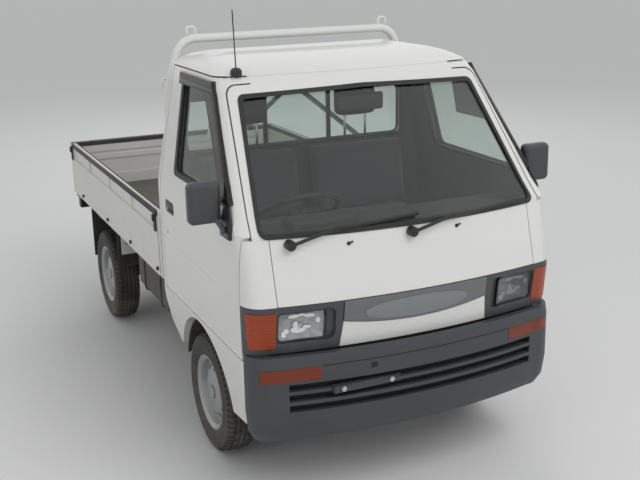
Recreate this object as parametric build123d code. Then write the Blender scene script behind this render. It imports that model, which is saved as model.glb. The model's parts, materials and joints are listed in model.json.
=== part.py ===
from build123d import *
import math
import os

# Kei truck with a cab over its front axle and a drop-side bed.
# Millimetres, +Z up. The front faces -Y, the driver's side (right-hand drive) is -X.
# The origin is on the ground, halfway along the truck from bumper face to tailgate.
# Lengthwise places are given as "d", the distance behind the bumper's front face.

# Driving dimensions
LENGTH = 3295.0
BODY_WIDTH = 1395.0
WHEELBASE = 1900.0
FRONT_OVERHANG = 720.0
TRACK = 1210.0
TYRE_RADIUS = 265.0
TYRE_WIDTH = 145.0
RIM_RADIUS = 166.0
RIM_WIDTH = 112.0
FRAME_TOP = 607.0
FLOOR_THICKNESS = 30.0
DOOR_THICKNESS = 42.0
SKIN_THICKNESS = 30.0
BULKHEAD_THICKNESS = 15.0
BACK_THICKNESS = 35.0
ROOF_THICKNESS = 28.0
CAB_BACK = 1235.0
ROOF_SEAM = 1655.0
BELT_HEIGHT = 1180.0
DOOR_FRONT = 187.0
DOOR_BACK = 1198.0
DOOR_BOTTOM = 624.0
PANEL_GAP = 5.0
SEAM_GAP = 3.0
REST_GAP = 0.3
RUNNING_GAP = 0.05
BED_FRONT = 1262.0
BED_FLOOR_TOP = 672.0
BED_FLOOR_THICKNESS = 32.0
GATE_BOTTOM = 640.0
GATE_TOP = 963.0
GATE_THICKNESS = 30.0
ARCH_RADIUS = 340.0

HALF_WIDTH = BODY_WIDTH / 2
FLOOR_TOP = FRAME_TOP + FLOOR_THICKNESS
FRONT_AXLE = FRONT_OVERHANG
REAR_AXLE = FRONT_OVERHANG + WHEELBASE
WHEEL_X = TRACK / 2
BED_BACK = LENGTH
SIDES = {"right": -1, "left": 1}


def at(d):
    """Y of a place d behind the bumper's front face."""
    return d - LENGTH / 2


def box(x0, x1, d0, d1, z0, z1):
    """Box between two x, two distances behind the bumper and two heights."""
    centre = ((x0 + x1) / 2, at((d0 + d1) / 2), (z0 + z1) / 2)
    return Pos(*centre) * Box(abs(x1 - x0), abs(d1 - d0), abs(z1 - z0))


def side_box(side, x0, x1, d0, d1, z0, z1):
    """Box on one side of the truck, with x measured outwards from the middle."""
    return box(side * x0, side * x1, d0, d1, z0, z1)


def side_prism(points, x0, x1):
    """Prism across the truck with an outline drawn in side view as (d, z)."""
    wire = Polyline(*[(min(x0, x1), at(d), z) for d, z in points], close=True)
    return extrude(make_face(wire), amount=abs(x1 - x0), dir=(1, 0, 0))


def rod(start, end, radius):
    """Round bar between two points given as (x, d, z)."""
    a = Vector(start[0], at(start[1]), start[2])
    b = Vector(end[0], at(end[1]), end[2])
    plane = Plane(origin=a, z_dir=b - a)
    return plane * extrude(Circle(radius), amount=(b - a).length)


def disc(x0, x1, d, z, radius):
    """Cylinder across the truck between two x."""
    return rod((x0, d, z), (x1, d, z), radius)


def bent_tube(points, bend, radius):
    """Tube through points given as (x, d, z), with every corner bent to one radius."""
    path = FilletPolyline(*[(x, at(d), z) for x, d, z in points], radius=bend)
    start = Plane(origin=path @ 0, z_dir=path % 0)
    return sweep(start * Circle(radius), path=path)


def one(shape):
    """The solids of a result as one shape, without slivers under a cubic centimetre."""
    kept = [solid for solid in shape.solids() if solid.volume > 1000]
    return kept[0] if len(kept) == 1 else Compound(kept)


# Cab: horizontal sections from the sills to the roof's crown.
# Columns: height, front in the middle, start of the corner (x, d), end of the corner (x, d), back.
CAB_SECTIONS = [
    (300, 96, 590, 160, 672, 240, CAB_BACK),
    (600, 62, 618, 128, HALF_WIDTH, 200, CAB_BACK),
    (845, 28, 620, 92, HALF_WIDTH, 187, CAB_BACK),
    (1118, 86, 620, 170, HALF_WIDTH, 208, CAB_BACK),
    (BELT_HEIGHT, 142, 613, 228, 688, 282, CAB_BACK),
    (1605, 519, 540, 564, 606, 640, CAB_BACK),
    (1640, 556, 530, 603, 598, 682, CAB_BACK),
    (1658, 590, 522, 638, 590, 715, CAB_BACK - 3),
    (1674, 632, 506, 680, 574, 755, CAB_BACK - 8),
    (1688, 686, 478, 730, 548, 806, CAB_BACK - 18),
    (1699, 745, 440, 786, 515, 862, CAB_BACK - 30),
    (1707, 812, 392, 850, 470, 925, CAB_BACK - 46),
    (1712, 880, 340, 920, 420, 990, CAB_BACK - 65),
]
CORNER_X = 0.7
CORNER_D = 0.3


def plan(row, front=0.0, side=0.0, back=0.0, top=0.0):
    """Horizontal outline of one cab section, moved inwards by the given amounts."""
    z, d_mid, x_in, d_in, x_out, d_out, d_back = row
    x_in, x_out = x_in - side, x_out - side
    d_mid, d_in, d_out, d_back = d_mid + front, d_in + front, d_out + front, d_back - back
    x_bow = x_in + CORNER_X * (x_out - x_in)
    d_bow = d_in + CORNER_D * (d_out - d_in)
    if z > ROOF_SEAM - 40:
        z = z - top
    middle = ThreePointArc((-x_in, at(d_in), z), (0, at(d_mid), z), (x_in, at(d_in), z))
    left = ThreePointArc((x_in, at(d_in), z), (x_bow, at(d_bow), z), (x_out, at(d_out), z))
    right = ThreePointArc((-x_out, at(d_out), z), (-x_bow, at(d_bow), z), (-x_in, at(d_in), z))
    corners = [(x_out, d_out), (x_out, d_back), (-x_out, d_back), (-x_out, d_out)]
    rest = Polyline(*[(x, at(d), z) for x, d in corners])
    return make_face(Wire([middle, left, *rest.edges(), right]))


def cab_solid(front=0.0, side=None, back=0.0, top=None):
    """The cab as one block, with every face moved inwards by the given amounts."""
    side = front if side is None else side
    top = front if top is None else top
    faces = [plan(row, front, side, back, top) for row in CAB_SECTIONS]
    return loft(faces, ruled=True)


def front_surface(x, z):
    """Distance behind the bumper's face of the cab's front surface at x and height z."""
    for low, high in zip(CAB_SECTIONS, CAB_SECTIONS[1:]):
        if low[0] <= z <= high[0]:
            share = (z - low[0]) / (high[0] - low[0])
            d_low = low[1] + (low[3] - low[1]) * (x / low[2]) ** 2
            d_high = high[1] + (high[3] - high[1]) * (x / high[2]) ** 2
            return d_low + share * (d_high - d_low)
    raise ValueError("no cab section at this height")


def side_x(z):
    """Half-width of the cab's flat side at height z."""
    for low, high in zip(CAB_SECTIONS, CAB_SECTIONS[1:]):
        if low[0] <= z <= high[0]:
            return low[4] + (high[4] - low[4]) * (z - low[0]) / (high[0] - low[0])
    raise ValueError("no cab section at this height")


WHOLE = cab_solid()
CAVITY = cab_solid(SKIN_THICKNESS + BULKHEAD_THICKNESS, DOOR_THICKNESS, BACK_THICKNESS, ROOF_THICKNESS)
BEHIND_SKIN = cab_solid(SKIN_THICKNESS, SKIN_THICKNESS, 0, 0)
SHELL = WHOLE - CAVITY
FAR = 900.0

# Side view outline of the door, as (d, z)
PILLAR_FOOT = (162.0, 1120.0)
PILLAR_HEAD = (566.0, ROOF_SEAM - PANEL_GAP)
DOOR_SHOULDER = 1104.0
PILLAR_WIDTH = 30.0
DOOR_OUTLINE = [
    (DOOR_FRONT, DOOR_BOTTOM),
    (DOOR_FRONT, DOOR_SHOULDER),
    PILLAR_FOOT,
    PILLAR_HEAD,
    (DOOR_BACK, ROOF_SEAM - PANEL_GAP),
    (DOOR_BACK, DOOR_BOTTOM),
]
DOOR_HOLE_OUTLINE = [
    (DOOR_FRONT - PANEL_GAP, DOOR_BOTTOM - PANEL_GAP),
    (DOOR_FRONT - PANEL_GAP, DOOR_SHOULDER - PANEL_GAP),
    (PILLAR_FOOT[0] - 2 * PANEL_GAP, DOOR_SHOULDER - PANEL_GAP),
    (PILLAR_HEAD[0] - 2 * PANEL_GAP, ROOF_SEAM),
    (DOOR_BACK + PANEL_GAP, ROOF_SEAM),
    (DOOR_BACK + PANEL_GAP, DOOR_BOTTOM - PANEL_GAP),
]
DOOR_INNER_X = 470.0
DOOR_EDGE_X = 612.0

# Windscreen opening, as (x, z)
PANEL_TOP = 1100.0
SCREEN_FOOT = (622.0, PANEL_TOP + REST_GAP)
SCREEN_HEAD = (541.0, 1592.0)
SCREEN_HEAD_MID = 1606.0
SCREEN_CORNER = 30.0
SEAL_WIDTH = 16.0
SEAL_PROUD = 4.0
SEAL_DEPTH = 16.0

# Door window, as (d, z)
GLASS_OUTLINE = [(302, 1222), (626, 1606), (1052, 1606), (1008, 1200), (330, 1200)]
GLASS_DEPTH = 14.0
HANDLE_D = (1006.0, 1134.0)
HANDLE_Z = (1004.0, 1063.0)
HANDLE_DEPTH = 16.0
HANDLE_CORNER = 14.0
CREASE_DEPTH = 1.6
CREASE_OUTLINE = [(281, 851), (DOOR_BACK + 1, 873), (DOOR_BACK + 1, 878), (281, 856)]
GLASS_THICKNESS = 5.0
FRONT_BAND_LOW = 655.0
FRONT_BAND_HIGH = 848.0
SEAM_X = 580.0
GRILLE_HALF = 322.0
GRILLE_HIGH = 766.0
GRILLE_SPREAD = 14.0
GARNISH_PROUD = 3.0
BULGE_DROP = 31.0
BAND_TIP = 281.0
HINGE_X = 690.0
HINGE_D = 165.0


def door_region(side, outline, pillar):
    """Space on one side of the truck within a side-view outline and outside the windscreen pillar."""
    region = side_prism(outline, side * DOOR_INNER_X, side * FAR) - screen_outline(-pillar)
    edge_x = DOOR_EDGE_X + pillar - PILLAR_WIDTH
    return region - side_box(side, DOOR_INNER_X - 1, edge_x, 0, 400, 600, PILLAR_FOOT[1])


def make_door(side):
    region = door_region(side, DOOR_OUTLINE, PILLAR_WIDTH + PANEL_GAP)
    window = side_prism(GLASS_OUTLINE, side * DOOR_INNER_X, side * FAR)
    pocket = side_box(side, HALF_WIDTH - HANDLE_DEPTH, FAR, *HANDLE_D, *HANDLE_Z)
    pocket = fillet(pocket.edges().filter_by(Axis.X), HANDLE_CORNER)
    crease = side_prism(CREASE_OUTLINE, side * (HALF_WIDTH - CREASE_DEPTH), side * FAR)
    return one((SHELL & region) - window - pocket - crease)


def make_door_glass(side):
    sheet = cab_solid(GLASS_DEPTH) - cab_solid(GLASS_DEPTH + GLASS_THICKNESS)
    window = side_prism(GLASS_OUTLINE, side * DOOR_INNER_X, side * FAR)
    return one(sheet & window)


DRIP_PROUD = 5.0
DRIP_LOW = ROOF_SEAM + 1
DRIP_HIGH = DRIP_LOW + 8
DRIP_RAIL = [(640, DRIP_LOW), (CAB_BACK - 12, DRIP_LOW), (CAB_BACK - 12, DRIP_HIGH), (660, DRIP_HIGH)]


def make_roof():
    roof = SHELL & box(-FAR, FAR, 0, CAB_BACK + 10, ROOF_SEAM, ROOF_SEAM + 200)
    rail_region = side_prism(DRIP_RAIL, -FAR, FAR) - box(-540, 540, 0, 2000, 0, 2000)
    rail = (cab_solid(-DRIP_PROUD, top=0) - cab_solid(2, top=0)) & rail_region
    return one(roof + rail)


def screen_outline(inset):
    """Windscreen outline in front view, moved inwards."""
    foot_x, foot_z = SCREEN_FOOT
    head_x, head_z = SCREEN_HEAD
    foot_x, head_x = foot_x - inset, head_x - inset
    points = [
        (-foot_x, foot_z + inset),
        (-head_x, head_z - inset),
        (0, SCREEN_HEAD_MID - inset),
        (head_x, head_z - inset),
        (foot_x, foot_z + inset),
    ]
    wire = Polyline(*[(x, at(-50), z) for x, z in points], close=True)
    corners = make_face(wire).vertices().filter_by(lambda v: abs(v.X) > 1)
    return extrude(fillet(corners, SCREEN_CORNER - inset / 2), amount=800, dir=(0, 1, 0))


def make_screen_parts():
    opening = screen_outline(0)
    daylight = screen_outline(SEAL_WIDTH)
    above = box(-FAR, FAR, 0, 760, FRONT_BAND_HIGH + PANEL_GAP, ROOF_SEAM)
    frame = SHELL & above
    for side in SIDES.values():
        frame = frame - door_region(side, DOOR_HOLE_OUTLINE, PILLAR_WIDTH)
    upper = frame & box(-FAR, FAR, 0, 760, PANEL_TOP + REST_GAP, ROOF_SEAM)
    upper = upper - opening
    rubber = (cab_solid(-SEAL_PROUD) - cab_solid(SEAL_DEPTH)) & opening
    rubber = rubber - daylight
    glass = (cab_solid(6) - cab_solid(12)) & daylight
    return one(upper), one(rubber), one(glass)


def garnish_outline(grow):
    """Strip between the headlamps with its bowed lower edge, grown by a gap."""
    half = GRILLE_HALF + grow
    low = GRILLE_HIGH - grow
    y = at(-50)
    top = Polyline((-half, y, low), (-half, y, FRONT_BAND_HIGH), (half, y, FRONT_BAND_HIGH), (half, y, low))
    bow = ThreePointArc((half, y, low), (0, y, low - BULGE_DROP), (-half, y, low))
    return extrude(make_face(Wire([*top.edges(), bow])), amount=350, dir=(0, 1, 0))


def centre_outline():
    """Front view of the panel between the lamps, whose ends spread downwards."""
    foot = GRILLE_HALF + GRILLE_SPREAD
    points = [(-foot, FRONT_BAND_LOW - 10), (-GRILLE_HALF, GRILLE_HIGH), (-GRILLE_HALF, FRONT_BAND_HIGH + 5),
              (GRILLE_HALF, FRONT_BAND_HIGH + 5), (GRILLE_HALF, GRILLE_HIGH), (foot, FRONT_BAND_LOW - 10)]
    wire = Polyline(*[(x, at(-50), z) for x, z in points], close=True)
    return extrude(make_face(wire), amount=350, dir=(0, 1, 0))


def make_front_parts():
    skin = SHELL - BEHIND_SKIN
    high = skin & box(-FAR, FAR, 0, 300, FRONT_BAND_HIGH + SEAM_GAP, PANEL_TOP)
    for side in SIDES.values():
        high = high - door_region(side, DOOR_HOLE_OUTLINE, PILLAR_WIDTH)
    panel = high & box(-SEAM_X, SEAM_X, 0, 300, 600, 1200)
    corners = high - box(-SEAM_X - SEAM_GAP, SEAM_X + SEAM_GAP, 0, 300, 600, 1200)
    band = skin & box(-FAR, FAR, 0, 300, FRONT_BAND_LOW, FRONT_BAND_HIGH)
    for side in SIDES.values():
        band = band - door_region(side, DOOR_HOLE_OUTLINE, PILLAR_WIDTH)
    grille = (band & centre_outline()) - garnish_outline(SEAM_GAP)
    garnish = (cab_solid(-GARNISH_PROUD) - BEHIND_SKIN) & garnish_outline(0)
    band = band - centre_outline() + garnish
    bulkhead = (SHELL & BEHIND_SKIN) & box(-FAR, FAR, 0, 300, FLOOR_TOP + REST_GAP, PANEL_TOP)
    for side in SIDES.values():
        bulkhead = bulkhead - door_region(side, DOOR_HOLE_OUTLINE, PILLAR_WIDTH)
    return one(panel), one(corners), band, one(grille), one(bulkhead)


# Lamps in the band, as x and z limits
HEADLAMP = (388.0, 583.0, 698.0, 826.0)
HEADLAMP_CORNER = 16.0
CORNER_LAMP_IN = 588.0
RECESS_WIDTH = 34.0
RECESS_CORNER = 30.0
RECESS_DEPTH = 16.0
CORNER_LAMP_D = 150.0
CORNER_LAMP_Z = (680.0, 828.0)


def make_lamps(band):
    headlamps = []
    corner_lamps = []
    lens_layer = cab_solid(6) - cab_solid(SKIN_THICKNESS)
    amber_layer = cab_solid(-2) - cab_solid(SKIN_THICKNESS)
    for side in SIDES.values():
        x0, x1, z0, z1 = HEADLAMP
        pocket = side_box(side, x0, x1, 0, 300, z0, z1)
        pocket = fillet(pocket.edges().filter_by(Axis.Y), HEADLAMP_CORNER)
        inner = side_box(side, x0 + REST_GAP, x1 - REST_GAP, 0, 300, z0 + REST_GAP, z1 - REST_GAP)
        inner = fillet(inner.edges().filter_by(Axis.Y), HEADLAMP_CORNER)
        recess = side_box(side, x0 - RECESS_WIDTH, x0 + RECESS_WIDTH, 0, 300, z0 - 4, z1 + 4)
        recess = fillet(recess.edges().filter_by(Axis.Y), RECESS_CORNER) - cab_solid(RECESS_DEPTH)
        z0, z1 = CORNER_LAMP_Z
        amber_pocket = side_box(side, CORNER_LAMP_IN, FAR, 0, CORNER_LAMP_D, z0, z1)
        amber = side_box(side, CORNER_LAMP_IN + REST_GAP, FAR, 0, CORNER_LAMP_D - REST_GAP, z0 + REST_GAP,
                         z1 - REST_GAP)
        band = band - pocket - amber_pocket - recess
        headlamps.append(one(lens_layer & inner))
        corner_lamps.append(one(amber_layer & amber))
    return one(band), Compound(headlamps), corner_lamps


# Bumper: horizontal sections, columns as for the cab without the back
BUMPER_SECTIONS = [
    (292, 34, 582, 104, 668, 178),
    (335, 10, 600, 82, 690, 172),
    (420, 0, 605, 70, HALF_WIDTH, 170),
    (612, 0, 605, 70, HALF_WIDTH, 170),
    (652, 12, 604, 82, 695, 172),
]
BUMPER_THICKNESS = 24.0
BUMPER_END = 172.0
BUMPER_LAMP = (430.0, 664.0, 553.0, 605.0)
BUMPER_SLOTS = [(424.0, 453.0), (468.0, 497.0), (511.0, 540.0)]
SLOT_HALF = 556.0
PLATE_X = -243.0
PLATE_Z = 505.0
PLATE_SPACING = 210.0
PLATE_HOLE = 3.5


def bumper_solid(inset):
    faces = [plan((*row, 420), inset, inset, 0, 0) for row in BUMPER_SECTIONS]
    return loft(faces, ruled=True)


def make_bumper():
    shell = bumper_solid(0) - bumper_solid(BUMPER_THICKNESS)
    shell = shell & box(-FAR, FAR, -10, BUMPER_END, 250, 700)
    for z0, z1 in BUMPER_SLOTS:
        shell = shell - box(-SLOT_HALF, SLOT_HALF, -10, 90, z0, z1)
    lamps = []
    x0, x1, z0, z1 = BUMPER_LAMP
    layer = bumper_solid(-1) - bumper_solid(BUMPER_THICKNESS)
    for side in SIDES.values():
        shell = shell - side_box(side, x0, x1, -10, 140, z0, z1)
        inner = side_box(side, x0 + REST_GAP, x1 - REST_GAP, -10, 140, z0 + REST_GAP, z1 - REST_GAP)
        lamps.append(one(layer & inner))
    pad = box(PLATE_X - 145, PLATE_X + 145, 8, 34, PLATE_Z - 14, PLATE_Z + 14)
    shell = shell + (pad - bumper_solid(BUMPER_THICKNESS + 6))
    for offset in (-PLATE_SPACING / 2, PLATE_SPACING / 2):
        x = PLATE_X + offset
        shell = shell - rod((x, -20, PLATE_Z), (x, 60, PLATE_Z), PLATE_HOLE)
    for side in SIDES.values():
        bracket = side_box(side, RAIL_IN, RAIL_OUT, 12, RAIL_FRONT, 560, 590)
        shell = shell + (bracket & bumper_solid(2))
    return one(shell), lamps


# Frame rails
RAIL_IN = 300.0
RAIL_OUT = 360.0
RAIL_FRONT = 90.0
RAIL_BACK = LENGTH - 65.0
RAIL_LOW = 517.0
CROSS_LOW = 530.0
CROSS_MEMBERS = [140, CAB_BACK + 55, REAR_AXLE - 560, REAR_AXLE - 240, RAIL_BACK - 50]


def make_frame():
    shape = None
    for side in SIDES.values():
        rail = side_box(side, RAIL_IN, RAIL_OUT, RAIL_FRONT, RAIL_BACK, RAIL_LOW, FRAME_TOP)
        shape = rail if shape is None else shape + rail
    for d in CROSS_MEMBERS:
        shape = shape + box(-RAIL_IN, RAIL_IN, d, d + 50, CROSS_LOW, FRAME_TOP - 10)
    return shape


# Lower body sides with the front wheel arches
SILL_LINE = [(BUMPER_END + SEAM_GAP, 336), (440, 312), (1000, 380), (1070, 402), (1180, 468), (1235, 560),
             (1235, DOOR_BOTTOM - PANEL_GAP), (BUMPER_END + SEAM_GAP, DOOR_BOTTOM - PANEL_GAP)]


def make_lower_sides():
    parts = []
    for side in SIDES.values():
        skin = SHELL & side_prism(SILL_LINE, side * 560, side * FAR)
        arch = disc(side * 400, side * FAR, FRONT_AXLE, TYRE_RADIUS, ARCH_RADIUS)
        below = side_box(side, 400, FAR, FRONT_AXLE - 230, FRONT_AXLE + 230, 200, TYRE_RADIUS)
        parts += (skin - arch - below).solids()
    return Compound([solid for solid in parts if solid.volume > 1000])


def make_cab_back():
    region = box(-FAR, FAR, DOOR_BACK + PANEL_GAP, CAB_BACK + 10, DOOR_BOTTOM - PANEL_GAP, ROOF_SEAM)
    back = SHELL & region
    opening = box(-REAR_WINDOW[0], REAR_WINDOW[0], 1100, 1300, REAR_WINDOW[1], REAR_WINDOW[2])
    back = back - fillet(opening.edges().filter_by(Axis.Y), 40)
    return one(back)


REAR_WINDOW = (560.0, 1238.0, 1486.0)
REAR_BAR_X = 165.0


def make_rear_glass():
    x, low, high = REAR_WINDOW
    gap = REST_GAP
    pane = box(-x + gap, x - gap, 1212, 1217, low + gap, high - gap)
    pane = fillet(pane.edges().filter_by(Axis.Y), 40 - gap)
    for bar_x in (-REAR_BAR_X, REAR_BAR_X):
        pane = pane + box(bar_x - 9, bar_x + 9, 1207, 1222, low + gap, high - gap)
    return one(pane)


# Cab floor with the raised box that carries the seats over the engine
SEAT_BOX_FRONT = 740.0
SEAT_BOX_TOP = 800.0
SEAT_BOX_WALL = 18.0
SEAT_BOX_HALF = 590.0
DOOR_SWEEP = 82.0
BULKHEAD_SEAT = 550.0


def make_cab_floor(bulkhead):
    slab = CAVITY & box(-FAR, FAR, 120, CAB_BACK, FRAME_TOP, FLOOR_TOP)
    slab = slab + (BEHIND_SKIN & box(-BULKHEAD_SEAT, BULKHEAD_SEAT, 60, 240, FRAME_TOP, FLOOR_TOP))
    inner = CAVITY & box(-FAR, FAR, SEAT_BOX_FRONT, CAB_BACK, FLOOR_TOP, SEAT_BOX_TOP)
    hollow = box(-RAIL_IN, RAIL_IN, SEAT_BOX_FRONT + SEAT_BOX_WALL, CAB_BACK - BACK_THICKNESS - SEAT_BOX_WALL,
                 FRAME_TOP - 1, SEAT_BOX_TOP - SEAT_BOX_WALL)
    floor = slab + (inner & box(-SEAT_BOX_HALF, SEAT_BOX_HALF, 0, CAB_BACK, FLOOR_TOP, SEAT_BOX_TOP)) - hollow
    door_low = DOOR_BOTTOM - PANEL_GAP
    sill_x = HALF_WIDTH - DOOR_THICKNESS - PANEL_GAP
    front, back = DOOR_FRONT - PANEL_GAP, DOOR_BACK + PANEL_GAP
    for side in SIDES.values():
        hinge_x = side * HINGE_X
        floor = floor - side_box(side, sill_x, FAR, front, back, door_low, FLOOR_TOP)
        floor = floor - rod((hinge_x, HINGE_D, door_low), (hinge_x, HINGE_D, FLOOR_TOP), DOOR_SWEEP)
    return Compound([one(floor), one(bulkhead)])


# Seats
SEATS = {"right": -290.0, "left": 277.0}
SEAT_WIDTH = 476.0
CUSHION_FRONT = 725.0
CUSHION_TOP = 915.0
BACKREST_TOP = 1235.0
HEADREST_LOW = 1362.0
HEADREST_TOP = 1500.0


def make_seats():
    parts = []
    for x in SEATS.values():
        half = SEAT_WIDTH / 2
        cushion = box(x - half, x + half, CUSHION_FRONT, 1120, SEAT_BOX_TOP + REST_GAP, CUSHION_TOP)
        cushion = fillet(cushion.edges().filter_by(Axis.X).sort_by(Axis.Z)[-2:], 40)
        low = CUSHION_TOP + 8
        outline = [(1040, low), (1150, low), (1190, BACKREST_TOP), (1095, BACKREST_TOP)]
        rest = side_prism(outline, x - half, x + half)
        rest = fillet(rest.edges().filter_by(Axis.X).sort_by(Axis.Z)[-2:], 35)
        head = box(x - 105, x + 105, 1112, 1186, HEADREST_LOW, HEADREST_TOP)
        head = fillet(head.edges(), 25)
        parts += [cushion, rest, head]
        for offset in (-55, 55):
            post = x + offset
            parts.append(rod((post, 1148, BACKREST_TOP + REST_GAP), (post, 1148, HEADREST_LOW - REST_GAP), 6))
        parts.append(box(x - 40, x + 40, 1120 + REST_GAP, 1150, CUSHION_TOP - 60, low - REST_GAP))
    return parts


# Dashboard and steering
STEER_CENTRE = (-290.0, 575.0, 1070.0)
STEER_RADIUS = 185.0
STEER_TILT = 55.0
COLUMN_RADIUS = 16.0
COLUMN_LENGTH = 210.0
DASH_HALF = 600.0


def make_dash():
    outline = [(240, 800), (480, 800), (520, 980), (500, 1060), (420, 1085), (210, 1085), (160, 1040),
               (160, 800)]
    bar = side_prism(outline, -DASH_HALF, DASH_HALF) & CAVITY
    return one(bar - rod(steer_point(20), steer_point(COLUMN_LENGTH + 4), COLUMN_RADIUS + 1))


def steer_point(distance):
    """Point on the steering column's axis, a distance below the wheel's centre."""
    tilt = math.radians(STEER_TILT)
    x, d, z = STEER_CENTRE
    return (x, d - distance * math.cos(tilt), z - distance * math.sin(tilt))


# Wheels
SPINDLE_RADIUS = 18.0
SPINDLE_END = 30.0
RIM_HOLES = 12
RIM_HOLE_CIRCLE = 108.0
RIM_HOLE = 12.5


def make_tyre(side, d):
    half = TYRE_WIDTH / 2
    profile_points = [(RIM_RADIUS, -RIM_WIDTH / 2), (200, -half + 2), (235, -half), (256, -64),
                      (TYRE_RADIUS, -50), (TYRE_RADIUS, 50), (256, 64), (235, half), (200, half - 2),
                      (RIM_RADIUS, RIM_WIDTH / 2), (150, 48), (150, -48)]
    return revolve_wheel(profile_points, side, d)


def revolve_wheel(points, side, d):
    """Ring about a wheel's axis from points given as radius and distance outwards."""
    x = side * WHEEL_X
    wire = Polyline(*[(x + side * out, at(d), TYRE_RADIUS + radius) for radius, out in points], close=True)
    axis = Axis((x, at(d), TYRE_RADIUS), (1, 0, 0))
    return revolve(make_face(wire), axis=axis, revolution_arc=360)


def make_rim(side, d):
    flange = RIM_RADIUS + 2
    lip = RIM_RADIUS - 4
    half = RIM_WIDTH / 2
    barrel = [(flange, half + 1), (flange, half + 5), (lip, half + 5), (147, 47), (141, 22), (128, 20), (112, 33),
              (88, 41), (60, 44), (34, 46), (34, 34), (60, 34), (86, 31), (108, 23), (126, 8), (138, 8),
              (142, -46), (lip, -half - 5), (flange, -half - 5), (flange, -half - 1), (149, -50), (149, 50)]
    shape = revolve_wheel(barrel, side, d)
    x = side * WHEEL_X
    cap = disc(x + side * 34, x + side * 52, d, TYRE_RADIUS, 30)
    cap = cap + disc(x + side * 34, x + side * 44, d, TYRE_RADIUS, 36)
    shape = shape + cap + disc(x - side * 25, x + side * 36, d, TYRE_RADIUS, 34)
    shape = shape - disc(x - side * 26, x + side * (SPINDLE_END + 1), d, TYRE_RADIUS, SPINDLE_RADIUS + RUNNING_GAP)
    for index in range(RIM_HOLES):
        angle = 2 * math.pi * index / RIM_HOLES
        hole_d = d + RIM_HOLE_CIRCLE * math.cos(angle)
        hole_z = TYRE_RADIUS + RIM_HOLE_CIRCLE * math.sin(angle)
        shape = shape - disc(x - side * 10, x + side * 60, hole_d, hole_z, RIM_HOLE)
    return one(shape)


# Front suspension: the steering axis leans inwards from the lower ball joint to the strut's top
KING_LOW = (565.0, 165.0)
KING_HIGH = (470.0, 604.0)
DRUM_RADIUS = 100.0
TOWER_LOW = 592.0
UPPER_PIN = 8.0
LOWER_PIN = 9.0
SOCKET_LOW = 134.0
SOCKET_HIGH = 152.0


def king_point(side, z):
    """Point (x, d, z) on a front wheel's steering axis at a height."""
    share = (z - KING_LOW[1]) / (KING_HIGH[1] - KING_LOW[1])
    return (side * (KING_LOW[0] + share * (KING_HIGH[0] - KING_LOW[0])), FRONT_AXLE, z)


def make_knuckle(side):
    drum = disc(side * (WHEEL_X - 30), side * (WHEEL_X - 78), FRONT_AXLE, TYRE_RADIUS, DRUM_RADIUS)
    spindle = disc(side * (WHEEL_X - 40), side * (WHEEL_X + SPINDLE_END), FRONT_AXLE, TYRE_RADIUS, SPINDLE_RADIUS)
    strut = rod(king_point(side, 240), king_point(side, 420), 26)
    damper = rod(king_point(side, 420), king_point(side, TOWER_LOW - 6), 18)
    upper_pin = rod(king_point(side, TOWER_LOW - 8), king_point(side, FRAME_TOP - 3), UPPER_PIN)
    lower_pin = rod(king_point(side, SOCKET_LOW + 2), king_point(side, 260), LOWER_PIN)
    arm = rod((side * (WHEEL_X - 70), FRONT_AXLE, 250), (side * 500, FRONT_AXLE + 130, 245), 11)
    return one(drum + spindle + strut + damper + upper_pin + lower_pin + arm)


def make_front_suspension():
    parts = box(-420, 420, FRONT_AXLE - 45, FRONT_AXLE + 45, 300, 340)
    for side in SIDES.values():
        parts = parts + side_box(side, RAIL_IN, RAIL_OUT, FRONT_AXLE - 45, FRONT_AXLE + 45, 300, RAIL_LOW)
        socket_mid = king_point(side, (SOCKET_LOW + SOCKET_HIGH) / 2)
        elbow = (side * 492, FRONT_AXLE, 148)
        parts = parts + rod((side * 380, FRONT_AXLE, 310), elbow, 11) + rod(elbow, socket_mid, 11)
        parts = parts + rod(king_point(side, SOCKET_LOW), king_point(side, SOCKET_HIGH), 19)
        bore = rod(king_point(side, SOCKET_LOW - 20), king_point(side, SOCKET_HIGH + 30), LOWER_PIN + RUNNING_GAP)
        parts = parts - bore
        tower = side_box(side, RAIL_OUT, KING_HIGH[0] + 30, FRONT_AXLE - 60, FRONT_AXLE + 60, TOWER_LOW, FRAME_TOP)
        bore = rod(king_point(side, TOWER_LOW - 20), king_point(side, FRAME_TOP + 20), UPPER_PIN + RUNNING_GAP)
        parts = parts + (tower - bore)
    return one(parts)


def make_rear_axle():
    parts = disc(-(WHEEL_X - 40), WHEEL_X - 40, REAR_AXLE, TYRE_RADIUS, 34)
    housing = disc(-95, 95, REAR_AXLE, TYRE_RADIUS, 108)
    parts = parts + fillet(housing.edges(), 45)
    for side in SIDES.values():
        parts = parts + disc(side * (WHEEL_X - 30), side * (WHEEL_X - 80), REAR_AXLE, TYRE_RADIUS, DRUM_RADIUS)
        parts = parts + disc(side * (WHEEL_X - 40), side * (WHEEL_X + SPINDLE_END), REAR_AXLE, TYRE_RADIUS,
                             SPINDLE_RADIUS)
    return one(parts)


SPRING_X = 430.0
SPRING_FRONT = REAR_AXLE - 500.0
SPRING_BACK = REAR_AXLE + 460.0


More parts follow.
